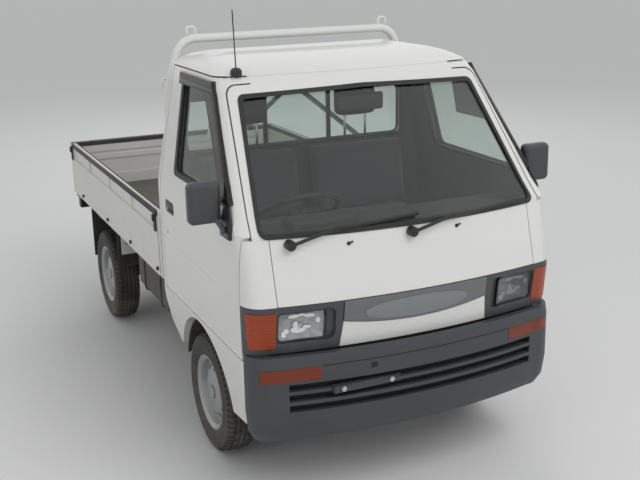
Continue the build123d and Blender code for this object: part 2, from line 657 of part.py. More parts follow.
def make_leaf_springs():
    parts = None
    for side in SIDES.values():
        top = TYRE_RADIUS + 28
        leaves = side_box(side, SPRING_X - 25, SPRING_X + 25, REAR_AXLE - 90, REAR_AXLE + 90, top, top + 30)
        front = (SPRING_FRONT, 400)
        back = (SPRING_BACK, 420)
        for start, end in ((front, (REAR_AXLE - 80, top + 15)), ((REAR_AXLE + 80, top + 15), back)):
            d0, z0 = start
            d1, z1 = end
            leaf = side_prism([(d0, z0 - 6), (d1, z1 - 8), (d1, z1 + 8), (d0, z0 + 6)], side * (SPRING_X - 25),
                              side * (SPRING_X + 25))
            leaves = leaves + leaf
        for d, z in (front, back):
            hanger = side_box(side, RAIL_OUT, SPRING_X + 25, d - 25, d + 25, z - 10, RAIL_LOW + 60)
            leaves = leaves + hanger
        parts = leaves if parts is None else parts + leaves
    return parts


ENGINE_BACK = CAB_BACK - 85.0
ENGINE_LENGTH = 360.0


ENGINE_HALF = 235.0
SUMP_LOW = 330.0
BLOCK_TOP = 620.0
HEAD_TOP = 735.0
COVER_TOP = 760.0


def make_engine():
    front = ENGINE_BACK - ENGINE_LENGTH
    block = box(-ENGINE_HALF, ENGINE_HALF, front, ENGINE_BACK, SUMP_LOW, BLOCK_TOP)
    block = fillet(block.edges().filter_by(Axis.Y), 35)
    head = box(-ENGINE_HALF + 45, ENGINE_HALF - 85, front + 25, ENGINE_BACK - 60, BLOCK_TOP - 1, HEAD_TOP)
    cover = box(-ENGINE_HALF + 75, ENGINE_HALF - 115, front + 40, ENGINE_BACK - 75, HEAD_TOP - 30, COVER_TOP)
    cover = fillet(cover.edges().filter_by(Axis.Z), 20)
    return one(block + head + cover)


def make_rear_suspension():
    shaft = rod((0, ENGINE_BACK + 3.4, 420), (0, REAR_AXLE, 275), 32)
    return one(make_rear_axle() + make_leaf_springs() + shaft)


TANK_FRONT = CAB_BACK + 165.0
TANK_LENGTH = 540.0
SILENCER_FRONT = CAB_BACK + 245.0
SILENCER_BACK = SILENCER_FRONT + 400.0


def make_tank():
    tank = box(-640, -RAIL_OUT, TANK_FRONT, TANK_FRONT + TANK_LENGTH, 400, 600)
    tank = fillet(tank.edges().filter_by(Axis.Y), 30)
    return one(tank)


def make_exhaust():
    silencer = box(RAIL_OUT + 25, 600, SILENCER_FRONT, SILENCER_BACK, 400, 510)
    silencer = fillet(silencer.edges().filter_by(Axis.Y), 40)
    start = ENGINE_BACK + 0.5
    pipe = bent_tube([(180, start, 400), (180, start + 130, 400), (300, SILENCER_FRONT - 80, 440),
                      (450, SILENCER_FRONT - 40, 450), (450, SILENCER_FRONT + 10, 450)], 20, 20)
    tail = bent_tube([(560, SILENCER_BACK - 5, 440), (560, SILENCER_BACK + 80, 440),
                      (660, SILENCER_BACK + 200, 410)], 60, 18)
    strap = box(RAIL_OUT, RAIL_OUT + 60, SILENCER_FRONT + 170, SILENCER_FRONT + 200, 470, RAIL_LOW + 40)
    return one(silencer + pipe + tail + strap)


def make_spare_wheel():
    x, d, z = -60.0, REAR_AXLE + 368.0, 372.0
    wire = Polyline(*[(x + radius, at(d), z + up) for radius, up in
                      ((150, -52), (230, -70), (TYRE_RADIUS - 12, -52), (TYRE_RADIUS - 12, 52), (230, 70), (150, 52))],
                    close=True)
    ring = revolve(make_face(wire), axis=Axis((x, at(d), z), (0, 0, 1)), revolution_arc=360)
    disc_plate = rod((x, d, z - 10), (x, d, z + 10), 152)
    hanger = rod((x, d, z + 10), (x, d, FRAME_TOP), 12)
    cross = box(-RAIL_IN, RAIL_IN, d - 30, d + 30, FRAME_TOP - 9, FRAME_TOP)
    return one(ring + disc_plate + hanger + cross)


# Bed
BED_HALF = HALF_WIDTH - GATE_THICKNESS - PANEL_GAP
TAIL_INNER = BED_BACK - GATE_THICKNESS
GATE_FRONT = BED_FRONT + 40.0
GATE_BACK = TAIL_INNER - PANEL_GAP
HINGE_MARGIN = 55.0
HINGE_STEP = (GATE_BACK - GATE_FRONT - 2 * HINGE_MARGIN) / 3
GATE_HINGES = [GATE_FRONT + HINGE_MARGIN + index * HINGE_STEP for index in range(4)]
TAIL_HINGES = [-540.0, -180.0, 180.0, 540.0]
HINGE_PIN = 4.0
HINGE_SLEEVE = 7.5
SLEEVE_HALF = 15.0
EAR_LENGTH = 12.0
EAR_LOW = 629.5
EAR_HIGH = 637.0
SILL_WIDTH = 35.0
BEAM_COUNT = 7
BEAM_WIDTH = 50.0
BEAM_STEP = (GATE_BACK - BED_FRONT - 150) / (BEAM_COUNT - 1)
SILL_BEAMS = [BED_FRONT + 58 + index * BEAM_STEP for index in range(BEAM_COUNT)]
GATE_HINGE_X = HALF_WIDTH - 7.0
GATE_HINGE_Z = GATE_BOTTOM - 8.0
TAIL_HINGE_D = BED_BACK - 7.0


def make_bed_floor():
    low = BED_FLOOR_TOP - BED_FLOOR_THICKNESS
    floor = box(-BED_HALF, BED_HALF, BED_FRONT + HEADBOARD_THICKNESS + REST_GAP, GATE_BACK, low, BED_FLOOR_TOP)
    for d in SILL_BEAMS:
        floor = floor + box(-BED_HALF, BED_HALF, d, d + BEAM_WIDTH, FRAME_TOP, low)
    for side in SIDES.values():
        floor = floor + side_box(side, BED_HALF - SILL_WIDTH, BED_HALF, BED_FRONT, GATE_BACK, FRAME_TOP, low)
        floor = floor + side_box(side, 556, FLAP_OUT - 4, REAR_AXLE - 420, REAR_AXLE - 412, 500, FRAME_TOP + 1)
        floor = floor + side_box(side, 556, 564, REAR_AXLE - 420, REAR_AXLE - 380, 500, FRAME_TOP + 1)
    floor = floor + box(-BED_HALF, BED_HALF, GATE_BACK - SILL_WIDTH, GATE_BACK, FRAME_TOP, low)
    for side in SIDES.values():
        for d in GATE_HINGES:
            reach = SLEEVE_HALF + SEAM_GAP / 2 + EAR_LENGTH
            x = side * GATE_HINGE_X
            floor = floor + rod((x, d - reach, GATE_HINGE_Z), (x, d + reach, GATE_HINGE_Z), HINGE_PIN)
            for start in (d - reach, d + reach - EAR_LENGTH):
                end = start + EAR_LENGTH
                floor = floor + side_box(side, BED_HALF - 1, GATE_HINGE_X + 5, start, end, EAR_LOW, EAR_HIGH)
    for x in TAIL_HINGES:
        reach = SLEEVE_HALF + SEAM_GAP / 2 + EAR_LENGTH
        floor = floor + rod((x - reach, TAIL_HINGE_D, GATE_HINGE_Z), (x + reach, TAIL_HINGE_D, GATE_HINGE_Z), HINGE_PIN)
        for start in (x - reach, x + reach - EAR_LENGTH):
            floor = floor + box(start, start + EAR_LENGTH, GATE_BACK - 1, TAIL_HINGE_D + 5, EAR_LOW, EAR_HIGH)
    return one(floor)


HEADBOARD_THICKNESS = 30.0
GUARD_D = BED_FRONT + 8.0
GUARD_TOP = 1757.0
LEG_TILT_RISE = 1.6


def make_headboard():
    foot = BED_FLOOR_TOP - BED_FLOOR_THICKNESS + REST_GAP
    board = box(-BED_HALF, BED_HALF, BED_FRONT, BED_FRONT + HEADBOARD_THICKNESS, foot, GATE_TOP)
    window = box(-BED_HALF + 90, BED_HALF - 90, BED_FRONT + 22, BED_FRONT + 60, 740, 900)
    board = board - window
    for side in SIDES.values():
        board = board + side_box(side, BED_HALF - 45, HALF_WIDTH, BED_FRONT - 10, BED_FRONT + 24, foot, GATE_TOP + 8)
    return one(board)


def make_guard_frame():
    foot_z = GATE_TOP + 8 + REST_GAP + LEG_TILT_RISE
    d = GUARD_D
    frame = bent_tube([(-645, d, foot_z), (-606, d, 1560), (-540, d, GUARD_TOP), (540, d, GUARD_TOP),
                       (606, d, 1560), (645, d, foot_z)], 95, 19)
    brace = rod((-640, d, 1000), (0, d, 1520), 12) + rod((640, d, 1000), (0, d, 1520), 12)
    bar = rod((-606, d, 1500), (606, d, 1500), 12)
    frame = frame + bar + brace
    for side in SIDES.values():
        hook = bent_tube([(side * 470, d, GUARD_TOP), (side * 470, d, GUARD_TOP + 52), (side * 510, d, GUARD_TOP + 52),
                          (side * 510, d, GUARD_TOP + 20)], 14, 6)
        low_hook = bent_tube([(side * 600, d, 1585), (side * 640, d, 1585), (side * 640, d, 1545)], 12, 5)
        frame = frame + hook + low_hook
    return one(frame)


RAIL_LIP = 4.0
RAIL_HEIGHT = 26.0
BAND_LOW = 868.0
BAND_DEPTH = 8.0
BAND_RIBS = 4
LATCH = (6.0, 36.0, 862.0, 950.0)


def make_gate(side):
    inner_x = HALF_WIDTH - GATE_THICKNESS
    panel = side_box(side, inner_x, HALF_WIDTH, GATE_FRONT, GATE_BACK, GATE_BOTTOM, GATE_TOP)
    band_high = GATE_TOP - RAIL_HEIGHT
    band_x = HALF_WIDTH - BAND_DEPTH
    panel = panel - side_box(side, band_x, FAR, GATE_FRONT + 45, GATE_BACK - 45, BAND_LOW, band_high)
    panel = panel + side_box(side, inner_x - RAIL_LIP, inner_x + 1, GATE_FRONT, GATE_BACK, band_high, GATE_TOP)
    for index in range(1, BAND_RIBS):
        d = GATE_FRONT + (GATE_BACK - GATE_FRONT) * index / BAND_RIBS
        panel = panel + side_box(side, band_x - 1, HALF_WIDTH - 1, d - 8, d + 8, BAND_LOW, band_high)
    start, end, low, high = LATCH
    for d0, d1 in ((GATE_FRONT + start, GATE_FRONT + end), (GATE_BACK - end, GATE_BACK - start)):
        lever = side_box(side, HALF_WIDTH - 1, HALF_WIDTH + 9, d0, d1, low, high)
        panel = panel + lever + side_box(side, HALF_WIDTH + 8, HALF_WIDTH + 18, d0 + 8, d1 - 8, low + 50, high - 6)
    for d in GATE_HINGES:
        start = (side * GATE_HINGE_X, d - SLEEVE_HALF, GATE_HINGE_Z)
        end = (side * GATE_HINGE_X, d + SLEEVE_HALF, GATE_HINGE_Z)
        web = side_box(side, GATE_HINGE_X - 6, GATE_HINGE_X + 6, start[1], end[1], GATE_HINGE_Z, GATE_BOTTOM + 1)
        panel = panel + rod(start, end, HINGE_SLEEVE) + web
        panel = panel - rod(start, end, HINGE_PIN + RUNNING_GAP)
    return one(panel)


def make_tailgate():
    panel = box(-HALF_WIDTH, HALF_WIDTH, TAIL_INNER, BED_BACK, GATE_BOTTOM, GATE_TOP)
    for low, high in ((868, 890), (740, 840)):
        panel = panel - box(-HALF_WIDTH + 60, HALF_WIDTH - 60, TAIL_INNER - 5, TAIL_INNER + 8, low, high)
    band_high = GATE_TOP - RAIL_HEIGHT
    panel = panel - box(-HALF_WIDTH + 60, HALF_WIDTH - 60, BED_BACK - BAND_DEPTH, BED_BACK + 5, BAND_LOW, band_high)
    lip = HALF_WIDTH - GATE_THICKNESS - 2 * RAIL_LIP - 4
    panel = panel + box(-lip, lip, TAIL_INNER - RAIL_LIP, TAIL_INNER + 1, band_high, GATE_TOP)
    for x in TAIL_HINGES:
        start = (x - SLEEVE_HALF, TAIL_HINGE_D, GATE_HINGE_Z)
        end = (x + SLEEVE_HALF, TAIL_HINGE_D, GATE_HINGE_Z)
        web = box(start[0], end[0], TAIL_HINGE_D - 6, TAIL_HINGE_D + 6, GATE_HINGE_Z, GATE_BOTTOM + 1)
        panel = panel + rod(start, end, HINGE_SLEEVE) + web
        panel = panel - rod(start, end, HINGE_PIN + RUNNING_GAP)
    return one(panel)


# Mirrors
MIRROR_X = (700.0, 830.0)
MIRROR_D = (330.0, 388.0)
MIRROR_Z = (1138.0, 1303.0)
MIRROR_FOOT_D = (244.0, 330.0)
MIRROR_FOOT_Z = (1094.0, 1117.0)


def make_mirror(side):
    head = side_box(side, *MIRROR_X, *MIRROR_D, *MIRROR_Z)
    head = fillet(head.edges(), 22)
    foot = side_box(side, HALF_WIDTH + REST_GAP, HALF_WIDTH + 16, *MIRROR_FOOT_D, *MIRROR_FOOT_Z)
    route = [(side * (HALF_WIDTH + 10), 290, 1114), (side * 724, 318, 1150), (side * 740, 360, 1165)]
    arm = bent_tube(route, 20, 10)
    return one(head + arm + foot)


# Wipers
# Pivot x and z, height of the blade's start and height of its tip
WIPERS = [(-511.0, 1078.0, 1118.0, 1142.0), (-17.0, 1080.0, 1110.0, 1124.0)]
WIPER_CAP = 20.0
WIPER_START = 154.0
WIPER_KNEE = 186.0
WIPER_REACH = 535.0


def above_front(x, z, height):
    """Point (x, d, z) a height in front of the cab's front surface."""
    return (x, front_surface(x, z) - height, z)


def make_wipers():
    parts = []
    cover = cab_solid(-5 - REST_GAP) & box(-FAR, FAR, 0, 700, 1080, 1300)
    cover = cover + cab_solid(-REST_GAP)
    for x, z, start_z, tip_z in WIPERS:
        cap = rod(above_front(x, z, -8), above_front(x, z, 30), WIPER_CAP)
        blade_a = Vector(*above_front(x + WIPER_START, start_z, 16))
        blade_b = Vector(*above_front(x + WIPER_REACH, tip_z, 16))
        middle = tuple((blade_a + blade_b) / 2)
        knee = above_front(x + WIPER_KNEE, start_z + 10, 26)
        arm = rod(above_front(x, z, 26), knee, 7) + rod(knee, middle, 7)
        blade = rod(tuple(blade_a), tuple(blade_b), 8)
        parts += (cap + arm + blade - cover).solids()
    return Compound([solid for solid in parts if solid.volume > 1000])


ANTENNA_FOOT = (-508.0, 640.0)
ANTENNA_TOP = 1916.0
ANTENNA_BASE = 24.0
ANTENNA_BASE_TOP = 1688.0


def make_antenna():
    x, d = ANTENNA_FOOT
    base = rod((x, d, ROOF_SEAM - ANTENNA_BASE), (x, d, ANTENNA_BASE_TOP), ANTENNA_BASE)
    base = fillet(base.edges().sort_by(Axis.Z)[-1], ANTENNA_BASE - 6)
    mast = rod((x, d, ANTENNA_BASE_TOP - 4), (x - 6, d, ANTENNA_TOP), 2.5)
    return one((base + mast) - WHOLE)


FLAP_THICKNESS = 6.0
FLAP_OUT = 672.0


def make_mud_flaps():
    parts = []
    for side in SIDES.values():
        behind = REAR_AXLE + TYRE_RADIUS + 45
        ahead = REAR_AXLE - TYRE_RADIUS - 71
        parts.append(side_box(side, 530, FLAP_OUT, behind, behind + FLAP_THICKNESS, 300, FRAME_TOP))
        parts.append(side_box(side, 540, FLAP_OUT, ahead, ahead + FLAP_THICKNESS, 400, FRAME_TOP))
    return Compound(parts)


def make_rear_lamps():
    parts = []
    for side in SIDES.values():
        parts.append(side_box(side, 470, 680, TAIL_INNER - PANEL_GAP - 45, TAIL_INNER + 5, 545, FRAME_TOP))
    return Compound(parts)


def make_steering_wheel():
    plane = Plane(origin=(STEER_CENTRE[0], at(STEER_CENTRE[1]), STEER_CENTRE[2]),
                  z_dir=(0, math.cos(math.radians(STEER_TILT)), math.sin(math.radians(STEER_TILT))))
    rim = plane * Torus(STEER_RADIUS, 13)
    hub = plane * Pos(0, 0, -12) * Cylinder(45, 40)
    spokes = plane * Box(2 * STEER_RADIUS - 10, 26, 12)
    lower = plane * Pos(0, -STEER_RADIUS / 2, 0) * Box(26, STEER_RADIUS - 6, 12)
    column = rod(steer_point(30), steer_point(COLUMN_LENGTH), COLUMN_RADIUS)
    return one(rim + hub + spokes + lower + column)


VISOR_OUTLINE = [(282, 1215), (646, 1638), (1062, 1638), (1062, 1588), (716, 1588), (350, 1215)]


def make_visor(side):
    """Smoked rain visor along the window's top and front, just proud of the door."""
    band = side_prism(VISOR_OUTLINE, side * DOOR_INNER_X, side * FAR)
    layer = cab_solid(-14) - cab_solid(-REST_GAP)
    return one(layer & band)


def build():
    """Every sub-part of the truck by name."""
    nodes = {}
    frame_upper, rubber, screen = make_screen_parts()
    panel, corners, band, grille, bulkhead = make_front_parts()
    band, headlamps, corner_lamps = make_lamps(band)
    bumper, bumper_lamps = make_bumper()
    nodes["roof"] = make_roof()
    nodes["windscreen_frame"] = frame_upper
    nodes["windscreen_seal"] = rubber
    nodes["windscreen"] = screen
    nodes["front_panel"] = panel
    nodes["corner_panels"] = corners
    nodes["lamp_band"] = band
    nodes["grille_panel"] = grille
    nodes["headlamps"] = headlamps
    nodes["bumper"] = bumper
    nodes["amber_lamps"] = Compound(corner_lamps + bumper_lamps)
    nodes["lower_sides"] = make_lower_sides()
    nodes["cab_back"] = make_cab_back()
    nodes["rear_window"] = make_rear_glass()
    nodes["cab_floor"] = make_cab_floor(bulkhead)
    nodes["seats"] = Compound(make_seats())
    nodes["dash"] = make_dash()
    nodes["steering_wheel"] = make_steering_wheel()
    nodes["chassis"] = make_frame()
    nodes["front_suspension"] = make_front_suspension()
    nodes["rear_suspension"] = make_rear_suspension()
    nodes["engine"] = make_engine()
    nodes["fuel_tank"] = make_tank()
    nodes["exhaust"] = make_exhaust()
    nodes["spare_wheel"] = make_spare_wheel()
    nodes["bed_floor"] = make_bed_floor()
    nodes["headboard"] = make_headboard()
    nodes["guard_frame"] = make_guard_frame()
    nodes["tailgate"] = make_tailgate()
    nodes["wipers"] = make_wipers()
    nodes["antenna"] = make_antenna()
    nodes["mud_flaps"] = make_mud_flaps()
    nodes["rear_lamps"] = make_rear_lamps()
    for name, side in SIDES.items():
        nodes["door_" + name] = make_door(side)
        nodes["door_glass_" + name] = make_door_glass(side)
        nodes["visor_" + name] = make_visor(side)
        nodes["mirror_" + name] = make_mirror(side)
        nodes["gate_" + name] = make_gate(side)
        nodes["knuckle_" + name] = make_knuckle(side)
        for place, d in (("front", FRONT_AXLE), ("rear", REAR_AXLE)):
            nodes["tyre_" + place + "_" + name] = make_tyre(side, d)
            nodes["rim_" + place + "_" + name] = make_rim(side, d)
    return nodes


os.makedirs("parts", exist_ok=True)
for node_name, node_shape in build().items():
    export_step(node_shape, "parts/" + node_name + ".step")
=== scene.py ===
import json
import math

import bpy
from bpy.props import FloatProperty, FloatVectorProperty, IntProperty, PointerProperty
from mathutils import Matrix, Vector

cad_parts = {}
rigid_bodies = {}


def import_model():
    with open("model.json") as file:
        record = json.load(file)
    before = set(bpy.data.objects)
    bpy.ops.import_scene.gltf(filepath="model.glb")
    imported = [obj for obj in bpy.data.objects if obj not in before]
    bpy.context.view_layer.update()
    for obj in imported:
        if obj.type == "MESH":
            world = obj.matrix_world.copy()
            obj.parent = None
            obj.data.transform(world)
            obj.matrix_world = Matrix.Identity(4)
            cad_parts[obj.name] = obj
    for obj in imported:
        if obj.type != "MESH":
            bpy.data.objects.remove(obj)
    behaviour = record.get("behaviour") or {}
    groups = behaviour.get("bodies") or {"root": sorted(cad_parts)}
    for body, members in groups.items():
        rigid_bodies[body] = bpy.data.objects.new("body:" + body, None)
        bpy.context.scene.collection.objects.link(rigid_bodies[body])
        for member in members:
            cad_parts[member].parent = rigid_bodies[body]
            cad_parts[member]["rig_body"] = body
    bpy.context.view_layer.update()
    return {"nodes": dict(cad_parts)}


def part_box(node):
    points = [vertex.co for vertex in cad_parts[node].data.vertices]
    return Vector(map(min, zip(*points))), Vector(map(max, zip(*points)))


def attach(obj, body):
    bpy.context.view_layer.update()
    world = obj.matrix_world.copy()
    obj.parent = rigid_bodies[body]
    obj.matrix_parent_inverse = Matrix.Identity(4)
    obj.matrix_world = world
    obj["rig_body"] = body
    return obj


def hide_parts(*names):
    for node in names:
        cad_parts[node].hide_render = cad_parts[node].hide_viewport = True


bl_info = {
    "name": "Kei Truck Dressing",
    "version": (1, 0, 0),
    "blender": (4, 5, 0),
    "location": "View3D > Sidebar > Kei Truck",
    "description": "Paint, glass, rubber, lamps, seats, wheels and bed details for the kei truck's frame",
    "category": "Object",
}

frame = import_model()
NODES = frame["nodes"]
SIDES = {"right": -1, "left": 1}

LENGTH = 3.295
BUMPER_FACE = -LENGTH / 2
HALF_WIDTH_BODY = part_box("tailgate")[1].x
TYRE_LOW, TYRE_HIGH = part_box("tyre_front_right")
TYRE_RADIUS = (TYRE_HIGH.z - TYRE_LOW.z) / 2
TYRE_WIDTH = TYRE_HIGH.x - TYRE_LOW.x
AXLES = {"front": (TYRE_LOW.y + TYRE_HIGH.y) / 2, "rear": sum(v.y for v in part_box("tyre_rear_right")) / 2}
WHEEL_X = abs(TYRE_LOW.x + TYRE_HIGH.x) / 2
FULL_TURN = 2 * math.pi

# Corners of a mesh that are closer than this, in metres, are one corner
WELD = 0.00003

# Edges of a panel that are flatter than this, in degrees, are shaded smooth
PANEL_SMOOTH = 32

# Half-width of the cab's side by height, and its front face by height:
# height, front in the middle, start of the corner (across, back), all in millimetres
CAB_SIDE = [(300, 672), (600, 697.5), (1118, 697.5), (1180, 688), (1605, 606), (1640, 598), (1672, 575)]
CAB_FRONT = [(600, 62, 618, 128), (845, 28, 620, 92), (1118, 86, 620, 170), (1180, 142, 613, 228),
             (1605, 519, 540, 564), (1640, 556, 530, 603)]

# Outlines in millimetres, as (behind the bumper's face, height)
DOOR_WINDOW = [(302, 1222), (626, 1606), (1052, 1606), (1008, 1200), (330, 1200)]
DOOR_WINDOW_MIDDLE = (760.0, 1390.0)
MIRROR_SAIL = [(240, 1084), (330, 1104), (352, 1146), (340, 1205), (290, 1222), (234, 1150)]

# Rubber round a door's window: side of the door, how far its outer and inner edge lie past the window, its
# depth in the door in millimetres, and its thickness in metres
DOOR_SEALS = [("outer", 7, -20, -1.8, 0.015), ("inner", 10, -14, 30, 0.014)]

# Headlamp's opening in millimetres: inner and outer edge, foot and head
HEADLAMP = (389.0, 582.0, 699.0, 825.0)

# Painted highlights in a headlamp's bowl: white patches that stand for the reflector's glints, as shares of
# the bowl: start and end across it from the truck's right, low and high edge
PAINTED_GLINTS = [(0.20, 0.46, 0.80, 0.95), (0.42, 0.60, 0.86, 0.96), (0.57, 0.82, 0.79, 0.94),
                 (0.28, 0.62, 0.20, 0.46), (0.40, 0.74, 0.34, 0.48), (0.33, 0.45, 0.40, 0.66),
                 (0.05, 0.17, 0.05, 0.30), (0.12, 0.24, 0.20, 0.40), (0.84, 0.94, 0.52, 0.76)]

# Segments of a rear lamp: name, nearer and farther edge from the middle in metres, finish
REAR_SEGMENTS = [("red", 0.598, 0.672, "red_lens"), ("amber", 0.538, 0.594, "amber_lens"),
                 ("clear", 0.478, 0.534, "lamp_lens")]

# Section of a gate's rolled rail in metres, as (outward reach, height)
RAIL_SECTION = [(0.0015, 0.938), (0.0015, 0.962), (-0.001, 0.9655), (-0.007, 0.9655), (-0.010, 0.9625),
                (-0.024, 0.9625), (-0.027, 0.9655), (-0.032, 0.9655), (-0.0355, 0.962), (-0.0355, 0.938)]

# Rear window's opening in metres: half-width, foot and head
REAR_WINDOW = (0.560, 1.238, 1.486)

# Soft parts of the seats: remeshing size in metres, finish, fill
CUSHION = (0.007, "seat_cloth", 0.75)
BACKREST = (0.007, "seat_cloth", 0.7)
HEADREST = (0.005, "headrest_vinyl", 0.8)

# Scale of a soft part before it swells, its steps of swelling and its most swelling in metres
PAD_SHRINK = 0.985
PAD_STEPS = 12
PAD_SWELL = 0.010

# Colour of rust, and how much wear, rust and dust add to a finish's roughness
RUST_BROWN = (0.16, 0.065, 0.028)
WEAR_ROUGHENS = 0.25
RUST_ROUGHENS = 0.45
DUST_ROUGHENS = 0.35

GROUPS = {}
FINISHES = {}


def place(across, behind, height):
    """Point in the frame from millimetres across, behind the bumper's face and above the ground."""
    return Vector((across / 1000, behind / 1000 + BUMPER_FACE, height / 1000))


def between(rows, height, column):
    """Value of one column of a table at a height."""
    for low, high in zip(rows, rows[1:]):
        if low[0] <= height <= high[0]:
            share = (height - low[0]) / (high[0] - low[0])
            return low[column] + share * (high[column] - low[column])
    raise ValueError("height outside the table")


def on_side(side, behind, height, proud=0.0):
    """Point on the cab's leaning side."""
    return place(side * (between(CAB_SIDE, height, 1) + proud), behind, height)


def on_front(across, height, proud=0.0):
    """Point on the cab's bowed front."""
    middle = between(CAB_FRONT, height, 1)
    corner_x = between(CAB_FRONT, height, 2)
    corner = between(CAB_FRONT, height, 3)
    return place(across, middle + (corner - middle) * (across / corner_x) ** 2 - proud, height)


def corners(left, right, low, high):
    """Corners of an upright rectangle, as pairs."""
    return (left, low), (right, low), (right, high), (left, high)


# Modelling helpers


def deselect():
    if bpy.context.object and bpy.context.object.mode != "OBJECT":
        bpy.ops.object.mode_set(mode="OBJECT")
    bpy.ops.object.select_all(action="DESELECT")


def activate(piece):
    deselect()
    piece.select_set(True)
    bpy.context.view_layer.objects.active = piece
    return piece


def link(name, data):
    """New object in the scene for a mesh, curve, lamp or camera."""
    piece = bpy.data.objects.new(name, data)
    bpy.context.scene.collection.objects.link(piece)
    return piece


def settle(piece, name):
    """Puts the piece's place into its mesh."""
    activate(piece)
    bpy.ops.object.transform_apply(location=True, rotation=True, scale=True)
    piece.name = name
    return piece


def modify(piece, kind, **settings):
    """Adds a modifier and applies it."""
    activate(piece)
    modifier = piece.modifiers.new(kind.title(), kind)
    for key, value in settings.items():
        setattr(modifier, key, value)
    bpy.ops.object.modifier_apply(modifier=modifier.name)
    return piece


def shade(piece, angle):
    """Smooth shading, but across edges sharper than an angle in degrees."""
    activate(piece)
    bpy.ops.object.shade_smooth_by_angle(angle=math.radians(angle))
    return piece


def soften(piece, width, segments=2, smooth=35):
    """Rounds a piece's edges and smooths its shading."""
    modify(piece, "BEVEL", width=width, segments=segments, limit_method="ANGLE", angle_limit=math.radians(30),
           use_clamp_overlap=True, harden_normals=False)
    return shade(piece, smooth)


def open_mesh(piece):
    """Edit mode with the whole piece selected."""
    activate(piece)
    bpy.ops.object.mode_set(mode="EDIT")
    bpy.ops.mesh.select_all(action="SELECT")


def pick_faces(piece, test):
    """Edit mode with the faces selected that pass a test."""
    activate(piece)
    bpy.ops.object.mode_set(mode="EDIT")
    bpy.ops.mesh.select_mode(type="FACE")
    bpy.ops.mesh.select_all(action="DESELECT")
    bpy.ops.object.mode_set(mode="OBJECT")
    for face in piece.data.polygons:
        face.select = test(face.center, face.normal)
    bpy.ops.object.mode_set(mode="EDIT")


def block(name, low, high):
    """Block between two corners, with its place in its mesh."""
    deselect()
    bpy.ops.mesh.primitive_cube_add(size=1, location=(low + high) / 2)
    piece = bpy.context.object
    piece.scale = [abs(b - a) for a, b in zip(low, high)]
    return settle(piece, name)


def drum(name, start, end, radius, sides=32, end_radius=None):
    """Round bar or cone between two points."""
    deselect()
    bpy.ops.mesh.primitive_cone_add(vertices=sides, radius1=radius, radius2=end_radius or radius,
                                    depth=(end - start).length, location=(start + end) / 2)
    piece = bpy.context.object
    piece.rotation_mode = "QUATERNION"
    piece.rotation_quaternion = (end - start).to_track_quat("Z", "Y")
    return settle(piece, name)


def bead(name, points, radius, closed=False):
    """Round rubber or tube that follows points, made a mesh."""
    curve = bpy.data.curves.new(name, "CURVE")
    curve.dimensions = "3D"
    curve.bevel_depth = radius
    curve.bevel_resolution = 3
    spline = curve.splines.new("POLY")
    spline.points.add(len(points) - 1)
    for point, target in zip(spline.points, points):
        point.co = (*target, 1)
    spline.use_cyclic_u = closed
    curve.use_fill_caps = not closed
    activate(link(name, curve))
    bpy.ops.object.convert(target="MESH")
    return shade(bpy.context.object, 50)


def rounded(points, radius, steps=5):
    """Closed outline with each corner rounded by short runs."""
    result = []
    for index, corner in enumerate(points):
        before, after = points[index - 1], points[(index + 1) % len(points)]
        reach = min(radius, (before - corner).length * 0.45, (after - corner).length * 0.45)
        start = corner + (before - corner).normalized() * reach
        end = corner + (after - corner).normalized() * reach
        for step in range(steps + 1):
            t = step / steps
            result.append(start * (1 - t) ** 2 + corner * 2 * t * (1 - t) + end * t ** 2)
    return result


def lathe(name, profile, steps):
    """Ring about the X axis through the origin, from points given as radius and distance along X."""
    deselect()
    bpy.ops.mesh.primitive_plane_add(size=0.01)
    ring = bpy.context.object
    ring.name = name
    bpy.ops.object.mode_set(mode="EDIT")
    bpy.ops.mesh.merge(type="CENTER")
    bpy.ops.transform.translate(value=(profile[0][1], 0, profile[0][0]))
    for (r0, x0), (r1, x1) in zip(profile, profile[1:]):
        bpy.ops.mesh.extrude_vertices_move(TRANSFORM_OT_translate={"value": (x1 - x0, 0, r1 - r0)})
    bpy.ops.mesh.select_all(action="SELECT")
    bpy.ops.mesh.spin(steps=steps, angle=FULL_TURN, center=(0, 0, 0), axis=(1, 0, 0))
    bpy.ops.mesh.select_all(action="SELECT")
    bpy.ops.mesh.remove_doubles(threshold=WELD)
    bpy.ops.mesh.normals_make_consistent(inside=False)
    bpy.ops.object.mode_set(mode="OBJECT")
    return ring


def twin(piece, name, matrix):
    """Copy with its own mesh, moved by a matrix."""
    mesh = piece.data.copy()
    mesh.transform(matrix)
    return link(name, mesh)


def join(name, pieces):
    deselect()
    for piece in pieces:
        piece.select_set(True)
    bpy.context.view_layer.objects.active = pieces[0]
    bpy.ops.object.join()
    pieces[0].name = name
    return pieces[0]


def closed_up(name, mesh):
    """Object for a new mesh, with its faces turned outwards."""
    piece = link(name, mesh)
    open_mesh(piece)
    bpy.ops.mesh.normals_make_consistent(inside=False)
    bpy.ops.object.mode_set(mode="OBJECT")
    return piece


def solid(name, low_ring, high_ring):
    """Closed plate between two rings of the same number of points."""
    count = len(low_ring)
    sides = [(i, (i + 1) % count, count + (i + 1) % count, count + i) for i in range(count)]
    mesh = bpy.data.meshes.new(name)
    mesh.from_pydata([*low_ring, *high_ring], [],
                     [tuple(range(count)), tuple(range(count, 2 * count)), *sides])
    return closed_up(name, mesh)


def plate(name, ring, push):
    """Flat plate from an outline, thickened along a vector."""
    return solid(name, ring, [point + push for point in ring])


